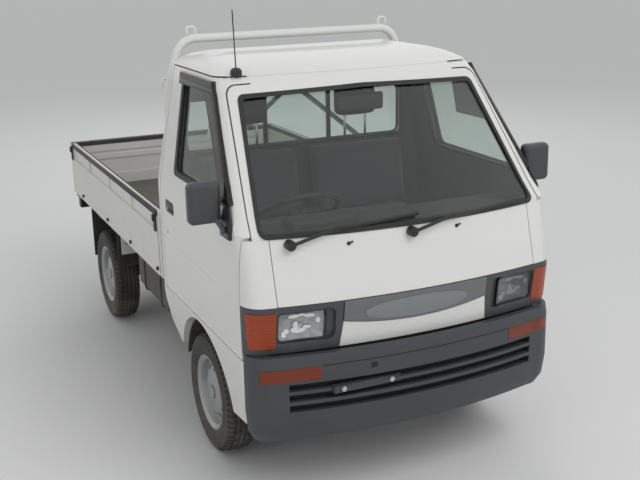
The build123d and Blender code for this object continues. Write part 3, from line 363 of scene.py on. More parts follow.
def gasket(name, outer, inner, push):
    """Frame-shaped strip between two outlines of the same number of points, thickened along a vector."""
    count = len(outer)
    rings = [outer, inner, [p + push for p in inner], [p + push for p in outer]]
    faces = []
    for row in range(4):
        after = (row + 1) % 4
        for i in range(count):
            j = (i + 1) % count
            faces.append((row * count + i, row * count + j, after * count + j, after * count + i))
    mesh = bpy.data.meshes.new(name)
    mesh.from_pydata([point for ring in rings for point in ring], [], faces)
    return closed_up(name, mesh)


def sheet(name, surface, columns, rows, thickness):
    """Curved sheet through a function of two shares from 0 to 1, thickened inwards."""
    points = [surface(i / columns, j / rows) for j in range(rows + 1) for i in range(columns + 1)]
    wide = columns + 1
    faces = [(j * wide + i, j * wide + i + 1, (j + 1) * wide + i + 1, (j + 1) * wide + i)
             for j in range(rows) for i in range(columns)]
    mesh = bpy.data.meshes.new(name)
    mesh.from_pydata(points, [], faces)
    return shade(modify(link(name, mesh), "SOLIDIFY", thickness=thickness, offset=-1.0), 40)


def repaint(piece, paint, test):
    """Gives the faces that pass a test a second finish."""
    piece.data.materials.append(FINISHES[paint])
    index = len(piece.data.materials) - 1
    for face in piece.data.polygons:
        if test(face.center, face.normal):
            face.material_index = index


def fit(piece, body, paint, edge=0.0, segments=2):
    """Rounds a new piece if it has an edge radius, gives it its finish and makes it move with a body."""
    if edge:
        soften(piece, edge, segments)
    piece.data.materials.clear()
    piece.data.materials.append(FINISHES[paint])
    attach(piece, body)
    return piece


def panel(node, paint, edge, segments=2):
    """Copy of a CAD node with rounded edges, which stands for the node."""
    piece = link(node + "_panel", NODES[node].data.copy())
    open_mesh(piece)
    bpy.ops.mesh.remove_doubles(threshold=WELD)
    bpy.ops.mesh.dissolve_limited(angle_limit=math.radians(0.4))
    bpy.ops.object.mode_set(mode="OBJECT")
    if edge:
        soften(piece, edge, segments, PANEL_SMOOTH)
        modify(piece, "WEIGHTED_NORMAL", keep_sharp=True, weight=60)
    else:
        shade(piece, PANEL_SMOOTH)
    fit(piece, NODES[node]["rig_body"], paint)
    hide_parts(node)
    return piece


def coat(node, paint):
    """Gives a CAD node that stays its finish."""
    deselect()
    piece = NODES[node]
    piece.data.materials.clear()
    piece.data.materials.append(FINISHES[paint])


# Shader nodes


def feed(tree, socket, value):
    """Links a socket to another, or sets it to a value."""
    if isinstance(value, bpy.types.NodeSocket):
        tree.links.new(value, socket)
    else:
        socket.default_value = value


def new_node(tree, kind, inputs=(), **settings):
    """Shader node with its settings, and its inputs set or linked."""
    node = tree.nodes.new(kind)
    for key, value in settings.items():
        setattr(node, key, value)
    for label, value in inputs:
        feed(tree, node.inputs[label], value)
    return node


def calculate(tree, operation, a, b, clamp=False):
    """Result of an operation on two values or sockets."""
    return new_node(tree, "ShaderNodeMath", ((0, a), (1, b)), operation=operation, use_clamp=clamp).outputs[0]


def mixed(tree, mask, base, top):
    """Colour that goes from one to another by a mask."""
    node = new_node(tree, "ShaderNodeMix", ((0, mask), (6, base), (7, top)), data_type="RGBA")
    return node.outputs[2]


def rgba(color, gain=1.0):
    return (*(channel * gain for channel in color[:3]), 1.0)


class Group:
    """Shader node group under construction, on the piece's own coordinates."""

    def __init__(self, name, inputs, outputs):
        self.tree = bpy.data.node_groups.new(name, "ShaderNodeTree")
        for label, kind, value in inputs:
            socket = self.tree.interface.new_socket(label, in_out="INPUT", socket_type="NodeSocket" + kind)
            socket.default_value = value
        for label, kind in outputs:
            self.tree.interface.new_socket(label, in_out="OUTPUT", socket_type="NodeSocket" + kind)
        self.source = self.tree.nodes.new("NodeGroupInput").outputs
        self.sink = self.tree.nodes.new("NodeGroupOutput").inputs
        self.where = self.node("ShaderNodeTexCoord").outputs["Object"]

    def node(self, kind, inputs=(), **settings):
        return new_node(self.tree, kind, inputs, **settings)

    def math(self, operation, a, b=0.0, clamp=False):
        return calculate(self.tree, operation, a, b, clamp)

    def noise(self, scale, detail, roughness=0.5, where=None):
        """Cloud pattern between 0 and 1."""
        inputs = (("Vector", where or self.where), ("Scale", scale), ("Detail", detail),
                  ("Roughness", roughness))
        return self.node("ShaderNodeTexNoise", inputs).outputs["Fac"]

    def stretch(self, value, start, end):
        """Value that runs from 0 to 1 while another runs from start to end."""
        inputs = (("Value", value), ("From Min", start), ("From Max", end))
        return self.node("ShaderNodeMapRange", inputs).outputs["Result"]

    def axes(self):
        return self.node("ShaderNodeSeparateXYZ", ((0, self.where),)).outputs

    def put(self, label, value):
        self.tree.links.new(value, self.sink[label])


def tone_group():
    """Colour that drifts a little over a surface."""
    tone = Group("Tone Variation", [("Color", "Color", (1, 1, 1, 1)), ("Scale", "Float", 3.0),
                                    ("Amount", "Float", 0.05)], [("Color", "Color")])
    cloud = tone.noise(tone.source["Scale"], 5.0)
    drift = tone.math("MULTIPLY", tone.math("SUBTRACT", cloud, 0.5), tone.source["Amount"])
    gain = tone.math("ADD", drift, 1.0)
    inputs = ((0, tone.source["Color"]), ("Scale", gain))
    tone.put("Color", tone.node("ShaderNodeVectorMath", inputs, operation="SCALE").outputs["Vector"])
    return tone.tree


def dust_group():
    """Road dust, thicker towards the ground, with a thin film all over."""
    dust = Group("Road Dust", [("Color", "Color", (1, 1, 1, 1)), ("Amount", "Float", 0.3),
                               ("Dust Color", "Color", (0.34, 0.30, 0.25, 1)), ("Height", "Float", 0.7)],
                 [("Color", "Color"), ("Mask", "Float")])
    height = dust.math("DIVIDE", dust.axes()["Z"], dust.source["Height"])
    low = dust.math("POWER", dust.math("SUBTRACT", 1.0, height, True), 1.4)
    patches = dust.stretch(dust.noise(9.0, 7.0, 0.62), 0.34, 0.72)
    film = dust.math("MULTIPLY", dust.noise(2.2, 3.0), 0.10)
    cover = dust.math("ADD", dust.math("MULTIPLY", low, patches), film)
    mask = dust.math("MULTIPLY", cover, dust.source["Amount"], True)
    dust.put("Color", mixed(dust.tree, mask, dust.source["Color"], dust.source["Dust Color"]))
    dust.put("Mask", mask)
    return dust.tree


def wear_group():
    """Paint rubbed off along the edges."""
    wear = Group("Edge Wear", [("Radius", "Float", 0.004), ("Amount", "Float", 0.5)], [("Mask", "Float")])
    round_normal = wear.node("ShaderNodeBevel", (("Radius", wear.source["Radius"]),), samples=4).outputs[0]
    flat_normal = wear.node("ShaderNodeNewGeometry").outputs["Normal"]
    turn = wear.node("ShaderNodeVectorMath", ((0, round_normal), (1, flat_normal)), operation="DOT_PRODUCT")
    edge = wear.stretch(turn.outputs["Value"], 0.99, 0.85)
    torn = wear.stretch(wear.noise(38.0, 6.0, 0.7), 0.42, 0.58)
    wear.put("Mask", wear.math("MULTIPLY", wear.math("MULTIPLY", edge, torn), wear.source["Amount"], True))
    return wear.tree


def rust_group():
    """Rust in upright streaks with small spots."""
    rust = Group("Rust Streaks", [("Amount", "Float", 0.3), ("Scale", "Float", 8.0)], [("Mask", "Float")])
    drawn = rust.node("ShaderNodeMapping", (("Vector", rust.where), ("Scale", (1.0, 1.0, 0.22)))).outputs[0]
    streaks = rust.noise(rust.source["Scale"], 9.0, 0.68, drawn)
    spots = rust.math("MULTIPLY", rust.noise(60.0, 4.0), 0.35)
    start = rust.math("SUBTRACT", 1.02, rust.math("MULTIPLY", rust.source["Amount"], 0.4))
    rust.put("Mask", rust.stretch(rust.math("ADD", streaks, spots), start, 1.1))
    return rust.tree


def grain_group():
    """Fine cells of moulded plastic and rubber."""
    grain = Group("Moulded Grain", [("Scale", "Float", 700.0)], [("Height", "Float")])
    scale = grain.source["Scale"]
    inputs = (("Vector", grain.where), ("Scale", scale))
    cells = grain.node("ShaderNodeTexVoronoi", inputs, feature="SMOOTH_F1")
    grain.put("Height", grain.math("ADD", cells.outputs["Distance"], grain.noise(scale, 2.0)))
    return grain.tree


def peel_group():
    """Ripple of sprayed paint over slow dents in the sheet metal."""
    peel = Group("Orange Peel", [("Scale", "Float", 120.0)], [("Height", "Float")])
    ripple = peel.noise(peel.source["Scale"], 1.0)
    peel.put("Height", peel.math("ADD", ripple, peel.math("MULTIPLY", peel.noise(3.0, 2.0), 30.0)))
    return peel.tree


def weave_group():
    """Crossed threads of seat cloth with flecks."""
    weave = Group("Cloth Weave", [("Thread", "Float", 0.0016)], [("Height", "Float"), ("Shade", "Float")])
    axes = weave.axes()
    pitch = weave.math("DIVIDE", FULL_TURN, weave.source["Thread"])
    along = weave.math("SINE", weave.math("MULTIPLY", axes["X"], pitch))
    over = weave.math("SINE", weave.math("MULTIPLY", weave.math("ADD", axes["Y"], axes["Z"]), pitch))
    fleck = weave.noise(420.0, 2.0)
    weave.put("Height", weave.math("ADD", weave.math("MULTIPLY", along, over), fleck))
    weave.put("Shade", fleck)
    return weave.tree


def flutes_group():
    """Upright flutes and level rows of a lamp's lens."""
    flutes = Group("Lens Flutes", [("Pitch", "Float", 0.006), ("Rows", "Float", 0.02)], [("Height", "Float")])
    axes = flutes.axes()

    def ripple(axis, length):
        return flutes.math("SINE", flutes.math("DIVIDE", flutes.math("MULTIPLY", axis, FULL_TURN), length))

    upright = flutes.math("ABSOLUTE", ripple(axes["X"], flutes.source["Pitch"]))
    level = flutes.math("MULTIPLY", ripple(axes["Z"], flutes.source["Rows"]), 0.4)
    flutes.put("Height", flutes.math("ADD", upright, level))
    return flutes.tree


def make_groups():
    """Effects that several finishes share, each built once."""
    return {"tone": tone_group(), "dust": dust_group(), "wear": wear_group(), "rust": rust_group(),
            "grain": grain_group(), "peel": peel_group(), "weave": weave_group(), "flutes": flutes_group()}


def grouped(tree, name, inputs):
    return new_node(tree, "ShaderNodeGroup", inputs, node_tree=GROUPS[name]).outputs


def new_material(name):
    material = bpy.data.materials.new(name)
    material.use_nodes = True
    FINISHES[name] = material
    return material.node_tree, material.node_tree.nodes["Principled BSDF"].inputs


def roughen(tree, roughness, masks):
    """Roughness that each mask raises by its gain."""
    value = roughness
    for mask, gain in masks:
        value = calculate(tree, "ADD", calculate(tree, "MULTIPLY", mask, gain), value, True)
    return value


def emboss(tree, height, depth, strength):
    """Normal of a pattern of some depth in metres."""
    inputs = (("Height", height), ("Distance", depth), ("Strength", strength))
    return new_node(tree, "ShaderNodeBump", inputs).outputs[0]


def finish(name, color, roughness, metallic=0.0, coating=0.0, tone=0.06, tone_scale=3.0, grain=None,
           peel=None, weave=None, dust=None, wear=None, rust=None, sheen=0.0):
    """Opaque finish. Grain, peel and weave are (size, depth), dust (amount, height), wear (amount, colour,
    radius), rust (amount, scale)."""
    tree, inputs = new_material(name)
    inputs["Metallic"].default_value = metallic
    inputs["Coat Weight"].default_value = coating
    inputs["Coat Roughness"].default_value = 0.06
    inputs["Sheen Weight"].default_value = sheen
    tones = (("Color", rgba(color)), ("Scale", tone_scale), ("Amount", tone))
    surface = grouped(tree, "tone", tones)["Color"]
    height, depth = None, 0.0
    for pattern, settings in (("grain", grain), ("peel", peel)):
        if settings:
            height, depth = grouped(tree, pattern, (("Scale", settings[0]),))["Height"], settings[1]
    if weave:
        woven = grouped(tree, "weave", (("Thread", weave[0]),))
        surface = mixed(tree, woven["Shade"], surface, rgba(color, 1.35))
        height, depth = woven["Height"], weave[1]
    masks = []
    if wear:
        mask = grouped(tree, "wear", (("Amount", wear[0]), ("Radius", wear[2])))["Mask"]
        surface = mixed(tree, mask, surface, rgba(wear[1]))
        masks.append((mask, WEAR_ROUGHENS))
    if rust:
        mask = grouped(tree, "rust", (("Amount", rust[0]), ("Scale", rust[1])))["Mask"]
        surface = mixed(tree, mask, surface, rgba(RUST_BROWN))
        masks.append((mask, RUST_ROUGHENS))
    if dust:
        settled = grouped(tree, "dust", (("Color", surface), ("Amount", dust[0]), ("Height", dust[1])))
        surface = settled["Color"]
        masks.append((settled["Mask"], DUST_ROUGHENS))
    feed(tree, inputs["Base Color"], surface)
    feed(tree, inputs["Roughness"], roughen(tree, roughness, masks))
    if height:
        feed(tree, inputs["Normal"], emboss(tree, height, depth, 0.6))


def pane(name, color, roughness=0.0, transmission=1.0, shadow=0.9, flutes=None, gloss=0.5, bend=1.45):
    """Clear or tinted finish, whose shadow lets a share of the light through."""
    tree, inputs = new_material(name)
    inputs["Transmission Weight"].default_value = transmission
    inputs["IOR"].default_value = bend
    inputs["Specular IOR Level"].default_value = gloss
    tone = grouped(tree, "tone", (("Color", rgba(color)), ("Scale", 2.0), ("Amount", 0.05)))
    film = grouped(tree, "dust", (("Color", tone["Color"]), ("Amount", 0.12), ("Height", 2.2)))
    feed(tree, inputs["Base Color"], film["Color"])
    feed(tree, inputs["Roughness"], roughen(tree, roughness, [(film["Mask"], 0.25)]))
    in_shadow = new_node(tree, "ShaderNodeLightPath").outputs["Is Shadow Ray"]
    through = calculate(tree, "MULTIPLY", in_shadow, shadow)
    feed(tree, inputs["Alpha"], calculate(tree, "SUBTRACT", 1.0, through, True))
    if flutes:
        height = grouped(tree, "flutes", (("Pitch", flutes[0]), ("Rows", flutes[1])))["Height"]
        feed(tree, inputs["Normal"], emboss(tree, height, 0.0012, 0.8))


# Settings that a user would change


class TruckColours(bpy.types.PropertyGroup):
    """Colours of the truck's main finishes"""

    enamel: FloatVectorProperty(name="Enamel", description="White of the cab", subtype="COLOR", size=3,
                                default=(0.78, 0.775, 0.755), min=0, max=1)
    bed: FloatVectorProperty(name="Bed enamel", description="Worn white of the gates", subtype="COLOR",
                             size=3, default=(0.72, 0.71, 0.675), min=0, max=1)
    plastic: FloatVectorProperty(name="Bumper plastic",
                                 description="Dark grey of bumper, mirrors and lamp band",
                                 subtype="COLOR", size=3, default=(0.052, 0.057, 0.063), min=0, max=1)
    garnish: FloatVectorProperty(name="Garnish", description="Grey of the strip between the headlamps",
                                 subtype="COLOR", size=3, default=(0.16, 0.17, 0.175), min=0, max=1)
    amber: FloatVectorProperty(name="Amber", description="Corner and bumper lamps", subtype="COLOR", size=3,
                               default=(0.62, 0.085, 0.012), min=0, max=1)
    cloth: FloatVectorProperty(name="Seat cloth", description="Grey of the seats", subtype="COLOR", size=3,
                               default=(0.085, 0.092, 0.098), min=0, max=1)
    rim: FloatVectorProperty(name="Rim", description="Silver of the steel rims", subtype="COLOR", size=3,
                             default=(0.36, 0.37, 0.38), min=0, max=1)


class TruckSizes(bpy.types.PropertyGroup):
    """Sizes of the details that are added round the frame"""

    panel_edge: FloatProperty(name="Panel edge", description="Rounding of the sheet-metal edges",
                              unit="LENGTH", default=0.0028, min=0.0005, max=0.01)
    seal: FloatProperty(name="Rear window seal", description="Radius of the rear window's rubber",
                        unit="LENGTH", default=0.009, min=0.002, max=0.02)
    tread_depth: FloatProperty(name="Tread depth", description="Depth of the tyres' grooves", unit="LENGTH",
                               default=0.006, min=0.001, max=0.01)
    tread_blocks: IntProperty(name="Tread blocks", description="Blocks round each shoulder", default=60,
                              min=12, max=90)


def make_finishes(colours):
    """Every finish of the truck, by name."""
    finish("cab_enamel", colours.enamel, 0.30, coating=0.55, tone=0.05, tone_scale=1.6, peel=(110.0, 0.00035),
           dust=(0.55, 0.62))
    finish("bed_enamel", colours.bed, 0.42, coating=0.2, tone=0.10, tone_scale=4.0, peel=(60.0, 0.0008),
           dust=(0.55, 0.9), wear=(0.75, (0.30, 0.28, 0.26), 0.004), rust=(0.22, 7.0))
    finish("worn_rail", (0.050, 0.048, 0.048), 0.62, metallic=0.1, tone=0.6, tone_scale=24.0,
           grain=(300.0, 0.0006), wear=(0.6, (0.22, 0.21, 0.20), 0.002), rust=(0.4, 14.0))
    finish("bumper_plastic", colours.plastic, 0.48, tone=0.18, tone_scale=5.0, grain=(900.0, 0.00035),
           dust=(0.08, 0.6))
    finish("trim_plastic", rgba(colours.plastic, 1.05), 0.40, tone=0.15, grain=(1100.0, 0.0003),
           dust=(0.15, 1.4))
    finish("garnish", colours.garnish, 0.38, tone=0.10, grain=(1200.0, 0.0002), dust=(0.15, 0.9))
    finish("black_plastic", (0.020, 0.020, 0.022), 0.36, tone=0.2, grain=(900.0, 0.0003))
    finish("seal_rubber", (0.014, 0.014, 0.015), 0.52, tone=0.3, tone_scale=8.0, grain=(600.0, 0.0003),
           dust=(0.15, 2.0))
    finish("frame_black", (0.022, 0.021, 0.020), 0.55, tone=0.4, tone_scale=9.0, grain=(160.0, 0.0008),
           dust=(0.7, 0.8), rust=(0.35, 9.0))
    finish("bed_coating", (0.105, 0.095, 0.082), 0.66, tone=0.7, tone_scale=7.0, grain=(260.0, 0.0012),
           wear=(0.6, (0.33, 0.31, 0.28), 0.006), rust=(0.32, 5.0), dust=(0.5, 1.6))
    finish("inner_grey", (0.060, 0.060, 0.058), 0.62, tone=0.15, grain=(420.0, 0.0006), dust=(0.5, 1.0))
    # Dark grey for the inside of the cab's white rear wall: painted shade
    finish("rear_wall_painted_shade", (0.105, 0.110, 0.104), 0.58, tone=0.14, tone_scale=5.0, grain=(420.0, 0.0006),
           dust=(0.4, 1.5))
    finish("headliner", (0.20, 0.195, 0.18), 0.80, tone=0.10, grain=(260.0, 0.0008))
    finish("door_trim", (0.060, 0.062, 0.064), 0.60, tone=0.16, grain=(520.0, 0.0007), dust=(0.3, 1.0))
    finish("floor_mat", (0.055, 0.053, 0.050), 0.78, tone=0.30, tone_scale=9.0, grain=(300.0, 0.0012),
           dust=(0.9, 0.9))
    # Near-black: own colour of the towing cover and the strip's seams, and painted shade behind the bumper's
    # slots, in its groove and in the door handles' bowls
    finish("black_and_painted_shade", (0.008, 0.008, 0.009), 0.60, tone=0.2, grain=(900.0, 0.0003))
    finish("badge_grey", rgba(colours.garnish, 1.4), 0.32, tone=0.14, tone_scale=9.0, grain=(1300.0, 0.0001))
    finish("dash_plastic", (0.045, 0.048, 0.050), 0.55, tone=0.12, grain=(800.0, 0.0005))
    finish("seat_cloth", colours.cloth, 0.85, tone=0.12, tone_scale=14.0, weave=(0.0030, 0.0007), sheen=0.25)
    finish("headrest_vinyl", (0.035, 0.035, 0.038), 0.48, tone=0.2, grain=(500.0, 0.0006))
    finish("cast_metal", (0.24, 0.235, 0.225), 0.5, metallic=0.8, tone=0.35, tone_scale=12.0,
           grain=(220.0, 0.001), dust=(0.6, 1.0))
    finish("exhaust_steel", (0.22, 0.19, 0.17), 0.48, metallic=0.85, tone=0.5, tone_scale=10.0,
           rust=(0.6, 8.0))
    finish("bright_steel", (0.62, 0.62, 0.61), 0.22, metallic=1.0, tone=0.1, tone_scale=20.0,
           dust=(0.15, 1.0))
    # Reflector metal, partly metallic, its colour darkened and blotched: painted reflections of dark
    # surroundings
    finish("reflector", (0.46, 0.47, 0.48), 0.24, metallic=0.35, tone=0.9, tone_scale=42.0)
    # White of the patches in the headlamps: painted highlights that stand for the reflectors' glints
    finish("painted_glint_white", (0.97, 0.97, 0.97), 0.12, coating=0.6, tone=0.02)
    finish("mirror_glass", (0.75, 0.77, 0.78), 0.03, metallic=1.0, tone=0.03)
    finish("tyre_rubber", (0.022, 0.022, 0.023), 0.72, tone=0.35, tone_scale=11.0, grain=(340.0, 0.0006),
           dust=(0.45, 0.62))
    finish("rim_paint", colours.rim, 0.36, metallic=0.45, coating=0.15, tone=0.14, tone_scale=12.0,
           grain=(500.0, 0.0002), dust=(0.5, 0.55), rust=(0.16, 14.0))
    finish("studio_floor", (0.80, 0.80, 0.79), 0.75, tone=0.025, tone_scale=0.8, grain=(90.0, 0.0004))
    pane("window_glass", (0.76, 0.83, 0.80), shadow=0.65, gloss=0.20)
    pane("smoke_acrylic", (0.19, 0.165, 0.15), roughness=0.04, shadow=0.6)
    pane("lamp_lens", (0.97, 0.98, 0.98), roughness=0.02, flutes=(0.0085, 0.05), bend=1.15)
    pane("amber_lens", colours.amber, roughness=0.10, transmission=0.45, shadow=0.5, flutes=(0.0070, 0.011))
    # Darker copy of the amber for the bumper lamps: painted shade
    pane("bumper_amber_painted_shade", rgba(colours.amber, 0.55), roughness=0.12, transmission=0.4, shadow=0.5,
         flutes=(0.0070, 0.011))
    pane("red_lens", (0.50, 0.012, 0.010), roughness=0.12, transmission=0.4, shadow=0.5,
         flutes=(0.0060, 0.010))


class KEI_OT_cab_panels(bpy.types.Operator):
    """Sheet-metal panels of the cab, with rounded edges and white enamel"""

    bl_idname = "kei_truck.cab_panels"
    bl_label = "Cab panels"

    def execute(self, context):
        edge = context.scene.truck_sizes.panel_edge

        def enamelled(node, trim=None, test=None):
            piece = panel(node, "cab_enamel", edge)
            if trim:
                repaint(piece, trim, test)

        for node in ("front_panel", "corner_panels", "grille_panel"):
            enamelled(node)
        enamelled("roof", "headliner", lambda centre, normal: normal.z < -0.4)
        enamelled("windscreen_frame", "inner_grey", lambda centre, normal: normal.y > 0.2)
        # Inside faces of the white rear wall in dark grey: painted shade
        enamelled("cab_back", "rear_wall_painted_shade", lambda centre, normal: normal.y < -0.5)
        enamelled("lower_sides", "frame_black", lambda centre, normal: normal.x * centre.x < -0.2)
        for name, side in SIDES.items():
            enamelled("door_" + name, "door_trim", lambda centre, normal: normal.x * centre.x < -0.3)
            self.make_handle(name, side)
            self.make_arch_liner(name, side)
        return {"FINISHED"}

    def make_handle(self, name, side):
        """Black pull handle in its bowl, and the lock below it."""
        body = "door_" + name
        out = Vector((side, 0, 0))

        def ring(front, back, low, high, depth, radius):
            outline = [on_side(side, d, z, -depth) for d, z in corners(front, back, low, high)]
            return rounded(outline, radius / 1000)

        # Near-black bowl, darker than the black pull: black plastic with painted shade of its recess
        bowl = plate("handle_bowl_" + name, ring(1007, 1133, 1005, 1062, 15.5, 13), out * 0.004)
        fit(bowl, body, "black_and_painted_shade")
        pull = plate("handle_pull_" + name, ring(1011, 1129, 1026, 1058, 10, 9), out * 0.0085)
        fit(pull, body, "black_plastic", 0.0025, 3)
        lock = drum("door_lock_" + name, on_side(side, 1118, 911, -1), on_side(side, 1118, 911, 2), 0.009, 24)
        fit(lock, body, "bright_steel", 0.001)
        slit = block("lock_slit_" + name, on_side(side, 1117.3, 906, 1.8), on_side(side, 1118.7, 916, 2.2))
        fit(slit, body, "black_plastic")

    def make_arch_liner(self, name, side):
        """Black sheet over a front wheel, inside the arch."""
        radius, inner, width = 0.336, 0.506, 0.150
        front_end, sweep = 168, 156
        centre = Vector((0, AXLES["front"], TYRE_RADIUS))

        def skin(u, v):
            angle = math.radians(front_end - sweep * v)
            across = side * (inner + width * u)
            return centre + Vector((across, -radius * math.cos(angle), radius * math.sin(angle)))

        fit(sheet("arch_liner_" + name, skin, 2, 28, 0.002), "truck", "frame_black")


class KEI_OT_glazing(bpy.types.Operator):
    """Windows, their rubber seals and the rain visors"""

    bl_idname = "kei_truck.glazing"
    bl_label = "Glazing"

    def execute(self, context):
        for node in ("rear_window", "door_glass_right", "door_glass_left"):
            coat(node, "window_glass")
        self.make_windscreen()
        self.make_rear_seals(context.scene.truck_sizes.seal)
        for name, side in SIDES.items():
            self.make_door_seals(name, side)
            panel("visor_" + name, "smoke_acrylic", 0.0015)
        return {"FINISHED"}

    def make_windscreen(self):
        """Bowed glass, narrower towards its head, and its rubber seal."""
        foot, head, head_rise = 1111, 1581, 14
        half_foot, half_loss, inset = 611, 81, 6

        def screen(u, v):
            a = 2 * u - 1
            rise = head + head_rise * (1 - abs(a)) - foot
            return on_front(a * (half_foot - half_loss * v), foot + rise * v, -inset)

        glass = fit(sheet("windscreen_glass", screen, 48, 16, 0.005), "truck", "window_glass")
        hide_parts("windscreen")
        panel("windscreen_seal", "seal_rubber", 0.003, 3)

    def make_rear_seals(self, radius):
        """Rubber round the rear window, outside and inside, and the two upright bars on its glass."""
        half, low, high = REAR_WINDOW
        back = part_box("cab_back")[1].y
        for label, y in (("outer", back + 0.001), ("inner", back - 0.036)):
            outline = [Vector((x, y, z)) for x, z in corners(-half, half, low, high)]
            seal = bead("rear_window_seal_" + label, rounded(outline, 0.040, 8), radius, True)
            fit(seal, "truck", "seal_rubber")
        glass_low, glass_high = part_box("rear_window")
        proud, overlap, half_bar = 0.0006, 0.002, 0.010
        for label, x in (("a", -0.165), ("b", 0.165)):
            foot = Vector((x - half_bar, glass_low.y - proud, low - overlap))
            head = Vector((x + half_bar, glass_high.y + proud, high + overlap))
            fit(block("rear_window_bar_" + label, foot, head), "truck", "seal_rubber", 0.002)

    def make_door_seals(self, name, side):
        """Rubber round a door's window, outside and inside."""
        middle_d, middle_z = DOOR_WINDOW_MIDDLE

        def ring(grow, depth):
            points = []
            for d, z in DOOR_WINDOW:
                reach = math.hypot(d - middle_d, z - middle_z)
                share = (reach + grow * 1.3) / reach
                away_d, away_z = (d - middle_d) * share, (z - middle_z) * share
                points.append(on_side(side, middle_d + away_d, middle_z + away_z, -depth))
            return rounded(points, 0.034, 6)

        for label, outer, inner, depth, deep in DOOR_SEALS:
            seal = gasket("door_seal_%s_%s" % (label, name), ring(outer, depth), ring(inner, depth),
                          Vector((-side * deep, 0, 0)))
            fit(seal, "door_" + name, "seal_rubber", 0.0012)


class KEI_OT_lamps(bpy.types.Operator):
    """Headlamps with reflectors and fluted lenses, amber and red lamps"""

    bl_idname = "kei_truck.lamps"
    bl_label = "Lamps"

    def execute(self, context):
        amber = panel("amber_lamps", "amber_lens", 0.003, 3)
        # Lamps low in the bumper take the darker copy of the amber: painted shade
        repaint(amber, "bumper_amber_painted_shade", lambda centre, normal: centre.z < 0.62)
        lenses = [self.make_headlamp(name, side) for name, side in SIDES.items()]
        lens = fit(join("headlamp_lenses", lenses), "truck", "lamp_lens")
        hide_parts("headlamps")
        panel("rear_lamps", "black_plastic", 0.004, 3)
        for name, side in SIDES.items():
            ends = [place(side * 674, 137.5, 684), place(side * 674, 121.5, 824)]
            fit(bead("amber_rib_" + name, ends, 0.0012), "truck", "seal_rubber")
            self.make_rear_segments(name, side)
        return {"FINISHED"}

    def make_rear_segments(self, name, side):
        """Red, amber and clear segments on a rear lamp's housing."""
        low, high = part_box("rear_lamps")
        sunk, proud, rim = 0.002, 0.009, 0.007
        for label, near, far, paint in REAR_SEGMENTS:
            inner = Vector((side * near, high.y - sunk, low.z + rim))
            outer = Vector((side * far, high.y + proud, high.z - rim))
            segment = block("rear_lens_%s_%s" % (label, name), inner, outer)
            fit(segment, "truck", paint, 0.004, 3)

    def make_headlamp(self, name, side):
        """Reflector bowl, white patches as its painted highlights, bulb and bezel of one headlamp; returns
        its lens.
        """
        inner, outer, foot, head = HEADLAMP
        middle_x, middle_z = (inner + outer) / 2, (foot + head) / 2
        half_x, half_z = (outer - inner) / 2, (head - foot) / 2
        lens_inset, lens_depth = 3, 4.5
        bowl_inset, bowl_depth, bowl_rise = 4, 27, 8.5
        glint_inset, glint_depth, glint_rise = 9, 17, 3
        bulge = 0.16

        def spread(u, v, inset, depth):
            a, b = 2 * u - 1, 2 * v - 1
            across = a * math.sqrt(1 - bulge * b * b) * (half_x - inset)
            up = b * math.sqrt(1 - bulge * a * a) * (half_z - inset)
            return on_front(side * middle_x + across, middle_z + up, -depth)

        def lens_skin(u, v):
            return spread(u, v, lens_inset, lens_depth)

        def bowl_skin(u, v):
            rim = (2 * u - 1) ** 2 + (2 * v - 1) ** 2
            return spread(u, v, bowl_inset, bowl_depth - bowl_rise * rim)

        def ring(inset, radius, depth):
            outline = corners(inner + inset, outer - inset, foot + inset, head - inset)
            return rounded([on_front(side * x, z, -depth) for x, z in outline], radius, 6)

        # Bowl in the reflector finish, whose darkened, blotched colour is painted reflection
        fit(sheet("headlamp_bowl_" + name, bowl_skin, 24, 20, 0.001), "truck", "reflector")
        # White patches in the bowl: painted highlights of the reflector
        glints = []
        for left, right, low, high in PAINTED_GLINTS:

            def glint_skin(u, v):
                p, q = 2 * u - 1, 2 * v - 1
                a = (left + right) / 2 + (right - left) / 2 * p * math.sqrt(1 - 0.5 * q * q)
                b = (low + high) / 2 + (high - low) / 2 * q * math.sqrt(1 - 0.5 * p * p)
                swell = 1 - (2 * a - 1) ** 2 - (2 * b - 1) ** 2
                return spread(a, b, glint_inset, glint_depth + glint_rise * swell)

            glints.append(sheet("headlamp_painted_glint", glint_skin, 8, 8, 0.001))
        fit(join("headlamp_painted_glints_" + name, glints), "truck", "painted_glint_white")
        bezel = gasket("headlamp_bezel_" + name, ring(0.5, 0.015, 3.5), ring(5, 0.018, 3.5),
                       Vector((0, 0.024, 0)))
        fit(bezel, "truck", "black_plastic", 0.001)
        seat = on_front(side * middle_x, middle_z, -26)
        bulb = drum("headlamp_bulb_" + name, seat, seat + Vector((0, -0.014, 0)), 0.010, 24)
        fit(bulb, "truck", "bright_steel", 0.003, 3)
        return sheet("headlamp_lens_" + name, lens_skin, 24, 20, 0.003)


